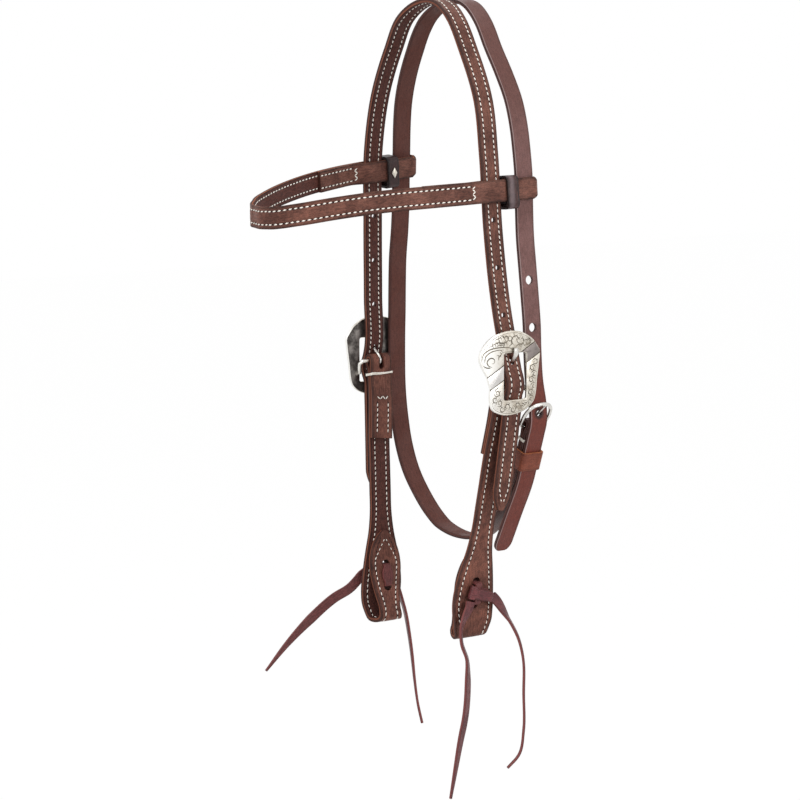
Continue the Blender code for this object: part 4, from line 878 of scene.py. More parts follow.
# throatlatch; held, holeSteps and slot are measured on the CAD strap's length
throatPlan = {
    "thickness": 2.7 * mm, "half": 7.95 * mm, "step": 2.4 * mm, "rounding": 0.42 * mm, "fineEnd": 9 * mm,
    "insets": (0, 1.2 * mm, 2.4 * mm, 5 * mm), "tipLength": 8.5 * mm, "tipHalf": 2.5 * mm,
    "held": 1049.89 * mm, "heldRadius": 2.4 * mm, "holeSteps": (30 * mm, 66 * mm, 102 * mm),
    "holeRadius": 3.5 * mm, "slot": 51.06 * mm, "slotPunch": (2.5 * mm, 8 * mm), "cadLength": 1172.85 * mm,
}
throatPoints = [
    (69.16, 33, -360.61), (78.92, 33, -332.24), (81.53, 33, -324.68), (82.41, 33, -317.33),
    (82.96, 33, -315.81), (84.19, 33, -314.76), (85.78, 33, -314.46), (87.3, 33, -314.98),
    (88.37, 33, -316.2), (88.69, 33, -317.78), (88.19, 33, -319.32), (84.36, 33, -325.65),
    (81.76, 33, -333.22), (75.25, 33, -352.13), (71.98, 33.02, -362.15), (70.23, 32.94, -365.31),
    (55.3, 32.24, -382.29), (40.63, 33.05, -400.39), (28.3, 33.85, -410.8), (19.96, 34.32, -415.15),
    (-2.07, 34.67, -418.57), (-21.29, 34.54, -416.79), (-32.82, 34.09, -413.24), (-42.87, 33.51, -406.88),
    (-59.26, 32.4, -391.61), (-72.22, 31.51, -374.98), (-81.27, 30.84, -354.89), (-86.53, 30.39, -332.86),
    (-89.67, 30.13, -309.42), (-90.33, 30.07, -287.59), (-89.96, 29.81, -267.53), (-88.67, 29.36, -246.61),
    (-87.17, 28.52, -224.63), (-85.24, 27.78, -203.19), (-82.14, 27.6, -179.66), (-80.52, 27.52, -158.74),
    (-80.04, 27.46, -135.67), (-78.69, 26.99, -117.69), (-76.62, 25.97, -98.03), (-72.8, 24.69, -78.86),
    (-64.2, 22.92, -58), (-53.05, 21.29, -39.23), (-41.57, 21.03, -20.68), (-35.42, 21.45, -13.3),
    (-23.65, 23.15, -4.53), (-14.7, 24.41, -0.79), (-2.44, 25.84, 1.29), (7.38, 25.42, 0.81),
    (19.32, 23.76, -2.42), (29.83, 22.19, -8.58), (37.63, 21.25, -15.58), (50.14, 21.12, -34.64),
    (61.58, 22.44, -53.23), (70.84, 24.26, -72.72), (75.63, 25.55, -91.54), (78.08, 26.7, -111.13),
    (79.76, 27.37, -129.93), (80.38, 27.52, -152.97), (81.6, 27.59, -174.95), (84.65, 27.71, -198.48),
    (86.85, 28.34, -220.44), (88.32, 29.21, -241.38), (89.46, 29.18, -262.34), (90.4, 30.22, -284.81),
    (91.38, 33.06, -304.95), (91.81, 33, -316.62), (88.52, 33, -327.09), (83.31, 33, -342.21),
    (75.5, 33, -364.91), (60.5, 33, -393.7), (45.5, 33, -422.5),
]


def makeThroatlatch():
    plan = throatPlan
    route = [point * mm for point in smoothRoute(throatPoints, 6)]
    marks, frames = routeFrames(route, straightBack)
    length = marks[-1]
    scale = length / plan["cadLength"]

    def halfAt(mark):
        share = min(max(length - mark, 0.0) / plan["tipLength"], 1.0)
        sweep = math.sqrt(max(1.0 - (1.0 - share) ** 2, 0.0))
        return plan["tipHalf"] + (plan["half"] - plan["tipHalf"]) * sweep

    strap = benchStrap("throatLeather", length, halfAt, plan)
    punchHole(strap, plan["held"] * scale, plan["heldRadius"])
    for step in plan["holeSteps"]:
        punchHole(strap, (plan["held"] - step) * scale, plan["holeRadius"])
    punchHole(strap, plan["slot"] * scale, *plan["slotPunch"])
    finishStrap(strap, halfAt, plan, marks, frames)
    settle(strap, "headstall", "bridle_leather", throatHide, "throatlatch_strap")
    print("throatlatch length", round(length, 4))


makeThroatlatch()
print("throatlatch cut and punched")


# browband; the upper ply is sewn over tail, seamEnd and innerStart, measured from each end
browPlan = {
    "thickness": 2.7 * mm, "half": 8.3 * mm, "step": 2 * mm, "rounding": 0.36 * mm, "rowInset": 3.4 * mm,
    "pitch": 4.25 * mm,
    "insets": (0, 1.2 * mm, 2.4 * mm, 2.95 * mm, 3.4 * mm, 3.85 * mm, 4.4 * mm, 5.8 * mm),
    "foldReach": 3.8 * mm, "foldPinch": 2.4 * mm, "upSpan": 78 * mm, "tail": 39 * mm, "seamEnd": 166 * mm,
    "innerStart": 204 * mm, "turn": 2.2 * mm,
    "zigzag": {"count": 5, "first": 3.92, "apart": 1.96, "lean": 0.62, "stretch": 1.22},
}
browUps = {"near": (-0.065, -0.0208, 0.9977), "off": (0.0636, -0.0204, 0.9978)}
browPoints = [
    (-68.5, -58.65, -138.59), (-73.94, -37.14, -136.04), (-77.18, -21.36, -134.37),
    (-73.13, -10.24, -133.61), (-73.13, 34.27, -129.84), (-73.53, 35.77, -129.68), (-74.63, 36.87, -129.51),
    (-76.13, 37.27, -129.36), (-80.7, 37.27, -129.01), (-82.2, 36.87, -128.93), (-83.3, 35.77, -128.95),
    (-83.7, 34.27, -129.05), (-81.33, -10.24, -133.13), (-78.33, -32.55, -135.38), (-73.2, -53.38, -137.81),
    (-67.27, -71.64, -140.26), (-60.18, -89.49, -143.02), (-52.62, -106.27, -146.02),
    (-41.71, -126.16, -150.16), (-32.15, -140.53, -153.56), (-19.93, -151.77, -156.49),
    (-14.64, -154.64, -157.27), (0, -157, -157.91), (12.44, -155.38, -157.45), (14.76, -154.64, -157.26),
    (20.09, -151.77, -156.51), (32.41, -140.53, -153.82), (44.28, -122.46, -150.19),
    (53.06, -106.28, -147.59), (60.68, -89.49, -145.46), (67.82, -71.64, -143.85), (73.8, -53.38, -142.58),
    (78.98, -32.55, -141.31), (82, -10.03, -140.14), (83.93, 34.33, -138.39), (83.53, 35.83, -138.36),
    (82.43, 36.93, -138.38), (80.93, 37.33, -138.44), (76.8, 37.33, -138.66), (75.3, 36.93, -138.76),
    (74.2, 35.83, -138.86), (73.8, 34.33, -138.94), (73.8, -10.03, -140.58), (77.84, -21.35, -140.83),
    (73.47, -42.34, -141.95), (69.09, -58.64, -142.94),
]


def makeBrowband():
    plan = browPlan
    route = [point * mm for point in steadyRoute(browPoints, 8)]
    near, off = Vector(browUps["near"]), Vector(browUps["off"])
    marks, frames = routeFrames(
        route, lambda place, share: off.lerp(near, clamp((place.x / plan["upSpan"] + 1) / 2)))
    length = marks[-1]
    tail, seamEnd, innerStart = plan["tail"], plan["seamEnd"], plan["innerStart"]
    outer = ((1 * mm, tail), (seamEnd, length - seamEnd), (length - tail, length - 1 * mm))
    inner = ((innerStart, length - innerStart),)
    row = plan["half"] - plan["rowInset"]
    seam = seamTable(length, lambda mark: row)
    # the strap is pinched where it folds back at each end
    places = list(zip(marks, route))
    middle = len(places) // 2
    halves = (places[:middle], places[middle:])
    folds = [max(half, key=lambda spot: spot[1].y + spot[1].x)[0] for half in halves]

    def halfAt(mark):
        gap = min(abs(mark - fold) for fold in folds) / plan["foldReach"]
        return plan["half"] - plan["foldPinch"] * max(1.0 - gap * gap, 0.0) ** 2

    strap = benchStrap("browLeather", length, halfAt, plan)
    finishStrap(strap, halfAt, plan, marks, frames, (outer, inner), seam)
    settle(strap, "brow", "harness_leather", browHide, "browband")
    turn = plan["turn"]
    turns = (seamEnd - turn, length - seamEnd + turn, tail + turn, length - tail - turn)
    stitches = sewRows(outer, inner, plan["pitch"], lambda mark: row, seam) + zigzag(turns, plan["zigzag"])
    thread = sewPiece("browStitches", stitches, plan["thickness"], marks, frames)
    settle(thread, "brow", "waxed_thread", cream)
    print("browband length", round(length, 4), "stitches", len(stitches))


makeBrowband()
print("browband folded and sewn")


# cheeks; places along the strap are in millimetres of the CAD strap's length
cheekPlan = {
    "thickness": 3.4 * mm, "half": 9.5 * mm, "step": 1.7 * mm, "rounding": 0.36 * mm, "rowInset": 4.3 * mm,
    "fineEnd": 10 * mm, "pitch": 4.1 * mm,
    "insets": (0, 1.2 * mm, 3 * mm, 3.75 * mm, 4.3 * mm, 4.85 * mm, 5.5 * mm, 7 * mm),
    "cadLength": 361.65 * mm, "slot": 68.4, "slotPunch": (2.5 * mm, 10 * mm),
    "holes": (238.14, 255.73, 316.67, 334.72), "holeRadius": 3.6 * mm, "outerEnd": 355.4, "innerEnd": 288,
    "turns": (32.5 * mm, 103 * mm), "bold": 0.86,
    "zigzag": {"count": 4, "first": 3.9, "apart": 2.6, "lean": 0.72, "stretch": 1.3},
}
cheekPoints = [
    (-11.01, -4.68, -62), (-6.43, -1.17, -31), (-3.86, -0.23, -13.6), (-3.11, -0.09, -8.5),
    (-3.49, 0, -0.87), (-3.47, 0, 0.98), (-2.53, 0, 2.56), (-0.92, 0, 3.48), (0.92, 0, 3.48),
    (2.53, 0, 2.56), (3.47, 0, 0.98), (3.49, 0, -0.87), (0.59, -0.09, -8.5), (-0.16, -0.23, -13.6),
    (-2.73, -1.17, -31), (-7.31, -4.68, -62), (-11.33, -6.74, -89.25), (-15.36, -8.8, -116.5),
    (-19.36, -10.85, -143.58), (-21.09, -11.82, -156.45), (-22.23, -12.63, -167.17),
    (-22.66, -13.33, -176.47), (-22.53, -13.8, -185.05), (-22.44, -13.8, -192.2), (-24.55, -13.8, -200.65),
    (-25.11, -13.8, -202.72), (-26.62, -13.8, -204.24), (-28.7, -13.8, -204.8), (-32.3, -13.8, -204.8),
    (-34.38, -13.8, -204.24), (-35.89, -13.8, -202.72), (-36.45, -13.8, -200.65), (-34.34, -13.8, -192.2),
    (-32.13, -13.8, -185.05), (-29.47, -13.33, -176.47), (-27.16, -12.63, -167.17),
    (-25.12, -11.82, -156.45), (-23.06, -10.85, -143.58), (-22.42, -10.52, -139.29), (-21.79, -10.2, -135),
]
cheekWidths = [
    (0, 9.5), (60, 9.5), (120, 9.5), (180, 9.5), (195.9, 9.6), (211.2, 11.16), (228.3, 14.88),
    (242.7, 17.48), (255.3, 18.6), (267.9, 17.67), (276.9, 15.81), (285.9, 12.64), (292, 10.44),
    (298.8, 9.43), (304.8, 10.01), (314.7, 11.89), (325.7, 13.7), (332.9, 14.5), (343.5, 13.34),
    (352.9, 9.72), (358.4, 5.51), (361.6, 1.9),
]


def makeCheek(side):
    plan = cheekPlan
    route = [point * mm for point in steadyRoute(cheekPoints, 8)]
    marks, frames = routeFrames(route, straightBack)
    length = marks[-1]
    scale = length / plan["cadLength"]
    widths = [(along * mm * scale, half * mm) for along, half in smoothTable(cheekWidths)]

    def halfAt(mark):
        return readTable(widths, mark)

    def rowAt(mark):
        share = clamp((length - 6.0 * mm - mark) / (17.0 * mm))
        return (halfAt(mark) - plan["rowInset"] * min(1.0, halfAt(mark) / plan["half"])) * share**0.6

    strap = benchStrap(side + "CheekLeather", length, halfAt, plan)
    punchHole(strap, plan["slot"] * mm * scale, *plan["slotPunch"])
    for hole in plan["holes"]:
        punchHole(strap, hole * mm * scale, plan["holeRadius"])
    outer = ((5 * mm, 30 * mm), (106 * mm, plan["outerEnd"] * mm * scale))
    inner = ((129 * mm, plan["innerEnd"] * mm * scale),)
    seam = seamTable(length, rowAt)
    finishStrap(strap, halfAt, plan, marks, frames, (outer, inner), seam)
    body = side + "_cheekpiece"
    hangOn(strap, side, body, "harness_leather", cheekHide, side + "_cheek")
    stitches = sewRows(outer, inner, plan["pitch"], rowAt, seam) + zigzag(plan["turns"], plan["zigzag"])
    thread = sewPiece(side + "CheekStitches", stitches, plan["thickness"], marks, frames, plan["bold"])
    hangOn(thread, side, body, "waxed_thread", cream)
    print(side, "cheek length", round(length, 4), "stitches", len(stitches))


for cheekSide in bars:
    makeCheek(cheekSide)
print("cheeks folded, punched and sewn")


# bit ties: the lace through both plies, and its knot
lacePlan = {
    "thickness": 2.1 * mm, "half": 4.75 * mm, "step": 0.9 * mm, "rounding": 0.3 * mm,
    "insets": (0, 0.9 * mm, 2.2 * mm), "cadLength": 57.52 * mm,
}
lacePoints = [
    (-16.65, -12.9, -170.97), (-16.15, -12.37, -164.4), (-16.28, -12.31, -163.58), (-16.8, -12.27, -162.93),
    (-17.57, -12.25, -162.64), (-27.64, -12.25, -161.93), (-28.46, -12.27, -161.99),
    (-29.15, -12.31, -162.47), (-29.51, -12.37, -163.23), (-32.48, -13.35, -175.87),
    (-32.51, -13.41, -176.69), (-32.12, -13.45, -177.42), (-31.43, -13.47, -177.87),
    (-18.48, -13.47, -178.24), (-17.68, -13.45, -178.01), (-17.11, -13.41, -177.48),
    (-16.9, -13.35, -176.77), (-16.68, -12.96, -171.77),
]
laceWidths = [(0, 2.8), (20.9, 2.8), (25.9, 4.75), (30.4, 4.75), (35.4, 2.8), (57.6, 2.8)]
knotPlan = {
    "thickness": 2.1 * mm, "half": 5.25 * mm, "step": 0.9 * mm, "rounding": 0.35 * mm,
    "insets": (0, 0.9 * mm, 2.4 * mm), "centre": (-16.52, -9.93, -171.39), "lean": 0.0519,
    "slope": math.radians(16), "halfA": 2.7 * mm, "halfB": 10.05 * mm, "corner": 2.5 * mm, "pinch": 0.35,
}


def ringRoute(centre, axisA, axisB, halfA, halfB, corner, flip=1.0, turns=7):
    # a rectangle with round corners, left just open where it starts
    flat = [(halfA, 0.0)]
    for number, (x, y) in enumerate(((1, 1), (-1, 1), (-1, -1), (1, -1))):
        middleA, middleB = x * (halfA - corner), y * (halfB - corner)
        for step in range(turns + 1):
            angle = (number + step / turns) * math.pi / 2
            flat.append((middleA + corner * math.cos(angle), middleB + corner * math.sin(angle)))
    flat.append((halfA, -0.04 * mm))
    return [centre + axisA * (a * flip) + axisB * (b * flip) for a, b in flat]


def makeBand(name, plan, centre, axisA, axisB, flip=1.0):
    route = ringRoute(centre, axisA, axisB, plan["halfA"], plan["halfB"], plan["corner"], flip)
    across = axisA.cross(axisB)
    marks, frames = routeFrames(route, lambda place, share: across)

    def halfAt(mark):
        place = route[min(bisect_right(marks, mark), len(route) - 1)]
        rise = max((place - centre).dot(axisB) / plan["halfB"], 0.0)
        return plan["half"] * (1.0 - plan.get("pinch", 0.0) * rise)

    band = benchStrap(name, marks[-1], halfAt, plan)
    finishStrap(band, halfAt, plan, marks, frames)
    return band


def makeTie(side):
    route = [point * mm for point in steadyRoute(lacePoints, 6)]
    marks, frames = routeFrames(route, straightBack)
    scale = marks[-1] / lacePlan["cadLength"]
    widths = [(along * mm * scale, half * mm) for along, half in laceWidths]

    def halfAt(mark):
        return readTable(widths, mark)

    lace = benchStrap(side + "Lace", marks[-1], halfAt, lacePlan)
    finishStrap(lace, halfAt, lacePlan, marks, frames)
    body = side + "_cheekpiece"
    hangOn(lace, side, body, "latigo_leather", laceHide, side + "_lace")
    lean = Matrix.Rotation(knotPlan["lean"], 3, "Y") @ Matrix.Rotation(-knotPlan["slope"], 3, "X")
    axisA, axisB = lean @ Vector((1.0, 0.0, 0.0)), lean @ Vector((0.0, 1.0, 0.0))
    knot = makeBand(side + "Knot", knotPlan, Vector(knotPlan["centre"]) * mm, axisA, axisB, -1.0)
    hangOn(knot, side, body, "latigo_leather", laceHide, side + "_lace_knot")


for tieSide in bars:
    makeTie(tieSide)
print("bit ties laced")


# keepers
keeperPlan = {
    "thickness": 2.2 * mm, "half": 5.2 * mm, "step": 0.9 * mm, "rounding": 0.36 * mm,
    "insets": (0, 0.9 * mm, 1.6 * mm, 3 * mm), "halfB": 11.6 * mm, "corner": 3.3 * mm,
}
keeperSeats = {
    "near": {
        "place": (78.5, 12.75, -141.29), "out": (0.9976, -0.0237, 0.0645), "up": (-0.0653, -0.0368, 0.9972),
        "halfA": 7.55 * mm,
    },
    "off": {
        "place": (-77.94, 12.7, -133.15), "out": (0.9975, 0.0315, -0.063), "up": (0.0655, -0.0859, 0.9941),
        "halfA": 7.71 * mm,
    },
}
throatKeeperPlan = {
    "thickness": 1.9 * mm, "half": 7.5 * mm, "step": 0.9 * mm, "rounding": 0.36 * mm,
    "insets": (0, 0.9 * mm, 2 * mm, 4 * mm), "halfA": 6.3 * mm, "halfB": 9.2 * mm, "corner": 1.9 * mm,
    "centre": (78.19, 33, -345.74), "lean": 19,
}
staplePlan = {
    "width": 5.2 * mm, "height": 8.6 * mm, "thickness": 0.8 * mm, "rim": 0.9 * mm, "dome": 0.45 * mm,
    "gap": 0.3 * mm,
}


def makeStaple(side, place, out, up, halfA):
    # a diamond head, domed by an inset, seated on the keeper's inner face
    inward = out * -sideSign[side]
    staple = startFrom(bpy.ops.mesh.primitive_cylinder_add, vertices=4, radius=0.5, depth=1.0)
    staple.name = side + "Staple"
    size = (staplePlan["height"], staplePlan["width"], staplePlan["thickness"], 1.0)
    staple.data.transform(Matrix.Diagonal(size))
    bpy.ops.object.mode_set(mode="EDIT")
    bpy.ops.mesh.select_all(action="DESELECT")
    bpy.ops.object.mode_set(mode="OBJECT")
    for face in staple.data.polygons:
        face.select = face.normal.z > 0.9
    bpy.ops.object.mode_set(mode="EDIT")
    bpy.ops.mesh.inset(thickness=staplePlan["rim"], depth=staplePlan["dome"])
    bpy.ops.object.mode_set(mode="OBJECT")
    soften(staple, 0.18 * mm, 2)
    turn = Matrix((up, inward.cross(up), inward)).transposed().to_4x4()
    reach = halfA + keeperPlan["thickness"] / 2 + staplePlan["gap"] + staplePlan["thickness"] / 2
    staple.data.transform(Matrix.Translation(place + inward * reach) @ turn)
    choose(staple)
    bpy.ops.object.shade_smooth_by_angle(angle=math.radians(25.0))
    settle(staple, "brow", "nickel_wire", silver, side + "_keeper_staple")


def makeBrowKeeper(side, seat, hide):
    place, halfA = Vector(seat["place"]) * mm, seat["halfA"]
    out, up = Vector(seat["out"]).normalized(), Vector(seat["up"]).normalized()
    keeper = makeBand(side + "BrowKeeper", dict(keeperPlan, halfA=halfA), place, out, up, -sideSign[side])
    settle(keeper, "brow", "keeper_leather", hide, side + "_browband_keeper")
    makeStaple(side, place, out, up, halfA)


# the near keeper gets the copy with the painted highlight, the off keeper the copy painted darker as shade
makeBrowKeeper("near", keeperSeats["near"], litKeeperHide)
makeBrowKeeper("off", keeperSeats["off"], shadedKeeperHide)
keeperLean = math.radians(throatKeeperPlan["lean"])
throatKeeper = makeBand(
    "throatKeeper", throatKeeperPlan, Vector(throatKeeperPlan["centre"]) * mm,
    Vector((math.cos(keeperLean), 0.0, -math.sin(keeperLean))), Vector((0.0, 1.0, 0.0)), -1.0)
settle(throatKeeper, "throat_loop", "tan_leather", tanHide, "throat_keeper")
print("keepers and staples set")


def wirePiece(name, wireLines, radius, closed=False, radii=None, resolution=3):
    wire = bpy.data.curves.new(name, "CURVE")
    wire.dimensions = "3D"
    wire.bevel_depth = radius
    wire.bevel_resolution = resolution
    wire.use_fill_caps = not closed
    for number, points in enumerate(wireLines):
        spline = wire.splines.new("POLY")
        spline.points.add(len(points) - 1)
        for index, place in enumerate(points):
            spline.points[index].co = (*place, 1.0)
            if radii:
                spline.points[index].radius = radii[number][index]
        spline.use_cyclic_u = closed
    choose(addPiece(name, wire))
    bpy.ops.object.convert(target="MESH")
    bpy.ops.object.mode_set(mode="EDIT")
    bpy.ops.mesh.select_all(action="SELECT")
    bpy.ops.mesh.remove_doubles(threshold=0.005 * mm)
    bpy.ops.mesh.normals_make_consistent(inside=False)
    bpy.ops.object.mode_set(mode="OBJECT")
    bpy.ops.object.shade_smooth_by_angle(angle=math.radians(50.0))
    return bpy.context.object


# thread ties: two strands twisted together and wound twice round the fold
threadPlan = {
    "corner": 1.0 * mm, "pitch": 0.85 * mm, "turns": 2, "step": 0.3 * mm, "strand": 0.33 * mm,
    "twist": 0.24 * mm, "twistPitch": 2.4 * mm, "sway": 0.55 * mm,
}


def windTie(name, centre, down, halfOut, halfBack):
    plan = threadPlan
    out, back, start = Vector((-down.z, 0.0, down.x)), Vector((0.0, 1.0, 0.0)), Vector((0.0, 0.0, 0.0))
    ring = ringRoute(start, Vector((1.0, 0.0, 0.0)), back, halfOut, halfBack, plan["corner"], 1.0, 5)[1:-1]
    path = []
    for step in range(plan["turns"] * len(ring)):
        spot = ring[step % len(ring)]
        along = plan["pitch"] * (step / len(ring) - plan["turns"] / 2)
        path.append(centre + out * spot.x + back * spot.y + down * along)
    marks = marksAlong(path)
    count = int(marks[-1] / plan["step"])
    strands = []
    for phase in (0.0, math.pi):
        points = []
        for step in range(count + 1):
            mark = marks[-1] * step / count
            index, share = spotOn(marks, mark)
            side = (path[index + 1] - path[index]).normalized().cross(down).normalized()
            angle = phase + mark / plan["twistPitch"] * 2 * math.pi
            sway = plan["sway"] * noise.noise(Vector((mark * 95.0, 3.1, 7.7)))
            twist = (side * math.cos(angle) + down * math.sin(angle)) * plan["twist"]
            points.append(path[index].lerp(path[index + 1], share) + twist + down * sway)
        strands.append(points)
    return wirePiece(name, strands, plan["strand"], resolution=1)


for tieSide in bars:
    cheekTie = windTie(
        tieSide + "CheekTie", Vector((-1.6, -0.14, -10.8)) * mm, Vector((-0.1461, 0.0, -0.9893)), 4.3 * mm,
        10.25 * mm)
    hangOn(cheekTie, tieSide, tieSide + "_cheekpiece", "waxed_thread", cream, tieSide + "_cheek_thread")
throatTie = windTie(
    "throatTie", Vector((81.38, 33.0, -329.7)) * mm, Vector((-0.3256, 0.0, -0.9455)), 3.6 * mm, 8.7 * mm)
settle(throatTie, "headstall", "waxed_thread", cream, "throat_thread")
print("thread ties wound")


# buckle wires: tongues and the throatlatch bow, in millimetres from their bars
cartTongue = [
    (1.55, 0, -2.57), (0.14, 0, -3), (-1.3, 0, -2.7), (-2.43, 0, -1.76), (-2.97, 0, -0.4), (-2.81, 0, 1.06),
    (-1.97, 0, 2.26), (5, 0, 8.2), (11.6, 0, 14.1), (13, 0, 16.2), (13.3, 0, 21.5),
]
throatTonguePoints = [
    (1.27, 0, -2.49), (-0.07, 0, -2.8), (-1.39, 0, -2.43), (-2.37, 0, -1.48), (-2.79, 0, -0.18),
    (-2.54, 0, 1.17), (-1.69, 0, 2.24), (6.78, 0, 8.62), (15.25, 0, 15),
]
throatBar = Vector((85.55, 33, -317.6)) * mm
bowPlan = {"tilt": (0.5878, 0.0, 0.8090), "halfWidth": 11.6, "reach": 19.0, "radius": 1.5 * mm}
bowShares = [(1, 0), (1.05, 0.22), (1.03, 0.48), (0.9, 0.74), (0.62, 0.93), (0.22, 1)]


def tonguePiece(name, points, radius, tipRadius):
    line = [point * mm for point in smoothRoute(points, 5)]
    marks = marksAlong(line)
    radii = [1.0 - (1.0 - tipRadius) * clamp((mark / marks[-1] - 0.72) / 0.28) ** 1.5 for mark in marks]
    return wirePiece(name, [line], radius, radii=[radii])


for tongueSide in bars:
    tongue = tonguePiece(tongueSide + "CartTongue", cartTongue, 1.1 * mm, 0.85)
    for vertex in tongue.data.vertices:
        vertex.co.y *= 1.0 + 1.25 * clamp((vertex.co.z / mm - 7.0) / 10.0)  # flattened towards the tip
    tongueNode = tongueSide + "_cart_tongue"
    hangOn(tongue, tongueSide, tongueSide + "_cart_prong", "nickel_wire", nickel, tongueNode)
throatTongue = tonguePiece("throatTongue", throatTonguePoints, 1.0 * mm, 0.7)
throatTongue.data.transform(Matrix.Translation(throatBar))
settle(throatTongue, "throat_prong", "nickel_wire", nickel, "throat_tongue")
bowHalf = [(x * bowPlan["halfWidth"], z * bowPlan["reach"]) for x, z in bowShares]
bowHalf += [(-x, z) for x, z in reversed(bowHalf)]
bowRing = [Vector((0, 1, 0)) * x + Vector(bowPlan["tilt"]) * z for x, z in bowHalf]
bowLine = [place * mm + throatBar for place in smoothRoute(bowRing, 6, closed=True)]
throatBow = wirePiece("throatBow", [bowLine], bowPlan["radius"], closed=True)
settle(throatBow, "headstall", "nickel_wire", nickel, "throat_buckle")
print("tongues and bow bent")


# cart buckles: plate, bands and engraving; drawing is (back, up) in millimetres from the bar
bucklePlan = {
    "face": 11.9 * mm, "back": 9.5 * mm, "bandRise": 9, "bandSlope": math.radians(29), "bandHalf": 4.9,
    "window": (-10, 11.2, -18, 17.5), "windowLine": (-11.3, 12.5, -19.3, 18.8),
}
rimPoints = [
    (-26.1, 1), (-31, 9), (-33.35, 14.5), (-32.2, 19.7), (-27.8, 25.5), (-19.7, 31.2), (-11.6, 33.6),
    (-2.9, 34.5), (5.8, 33.3), (13.05, 30.2), (18, 26.7), (23.6, 19.1), (24.4, 16.6), (23.2, 6.9),
    (21.6, -3.5), (20.3, -14.75), (18.6, -20.1), (13.9, -24.5), (5.8, -28), (-3.5, -29.5), (-13.3, -28.3),
    (-20.9, -24.5), (-23.2, -18.9), (-22.9, -8.3),
]
leafLines = [
    [
        (-22.9, 7.6), (-28.3, 8.7), (-30.9, 12.9), (-29.8, 18), (-25.2, 21), (-18.6, 22.3), (-11.2, 22.4),
        (-4.5, 21.5), (-1.4, 19.6),
    ],
    [
        (-21.7, 8.1), (-25, 9.5), (-26.3, 11.9), (-24.8, 14.3), (-21.7, 15), (-19.2, 13.4), (-19.9, 11),
        (-21.9, 10.8),
    ],
    [(-28.6, 11.9), (-27.6, 16.4), (-23.8, 19.1), (-17.4, 20.5), (-10.5, 20.6)],
    [(-15.5, 13), (-15, 15.6), (-13, 17.2), (-11.9, 19)],
    [
        (-24.6, 23), (-19.9, 25.2), (-15.6, 26.4), (-11.2, 25.6), (-7.5, 26.8), (-6.3, 29.2), (-8.2, 30.8),
        (-10.2, 29.6), (-9.3, 28.2),
    ],
    [(-5.8, 23), (-2.9, 24.9), (-3.2, 27.8), (-0.8, 30.3), (2.3, 29.9), (2.9, 27.9), (1.2, 27)],
    [(0.6, 22), (3.6, 24), (7, 24), (8.5, 26.3), (6.8, 28.4), (4.8, 27.3)],
    [(8.2, 22), (10.6, 23.4), (13.8, 24), (14.7, 26.2), (12.8, 27.9), (11.2, 26.6)],
    [(-19, 28.4), (-14.6, 29.8), (-11.6, 31.6)], [(-17.4, 23.6), (-13.7, 24.4), (-10, 23.6)],
]
vinePath = [
    (-17.4, -4), (-17.8, -11), (-17, -18), (-11.5, -23.2), (-3, -24), (6, -23.2), (13, -20), (16.4, -13),
    (17, -4), (17.8, 5), (18.2, 12),
]


def bandGap(back, up):
    slope = bucklePlan["bandSlope"]
    return abs(up - bucklePlan["bandRise"] - back * math.tan(slope)) * math.cos(slope)


def insideRim(back, up, margin):
    # true on the engraved ground: inside the rim, outside the window, off the plain bands
    inside = False
    nearest = math.inf
    for (x1, y1), (x2, y2) in zip(rimPoints, rimPoints[1:] + rimPoints[:1]):
        if (y1 > up) != (y2 > up) and back < (x2 - x1) * (up - y1) / (y2 - y1) + x1:
            inside = not inside
        span = (x2 - x1) ** 2 + (y2 - y1) ** 2
        share = clamp(((back - x1) * (x2 - x1) + (up - y1) * (y2 - y1)) / span)
        nearest = min(nearest, math.hypot(back - x1 - share * (x2 - x1), up - y1 - share * (y2 - y1)))
    if not inside or nearest < margin:
        return False
    left, right, low, high = bucklePlan["window"]
    if left - margin < back < right + margin and low - margin < up < high + margin:
        return False
    return bandGap(back, up) > bucklePlan["bandHalf"] + 0.9


def flatLine(points):
    return [(place.x, place.y) for place in points]


def smoothFlat(points, steps, closed=False):
    return smoothRoute([(x, y, 0.0) for x, y in points], steps, closed)


def sproutLeaves(line, hand, pace, reach):
    # short curved strokes off one side of a line, each turning away from it
    strokes = []
    travelled = 0.0
    for index in range(1, len(line) - 1):
        travelled += (line[index] - line[index - 1]).length
        if travelled < pace:
            continue
        travelled = 0.0
        way = (line[index + 1] - line[index - 1]).normalized()
        leaf = []
        for step in range(6):
            t = step / 5
            angle = math.atan2(way.y, way.x) + hand * (0.30 + 0.95 * t)
            grown = reach * shuffle.uniform(0.96, 1.04) * (0.25 + 0.75 * t)
            leaf.append((line[index].x + grown * math.cos(angle), line[index].y + grown * math.sin(angle)))
        strokes.append((leaf, 0.32))
    return strokes


scrollPlan = {
    "pitch": 4.7, "offset": 1.25, "radius": 3.0, "steps": 24, "turn": 2.7 * math.pi, "shrink": 1.25,
}


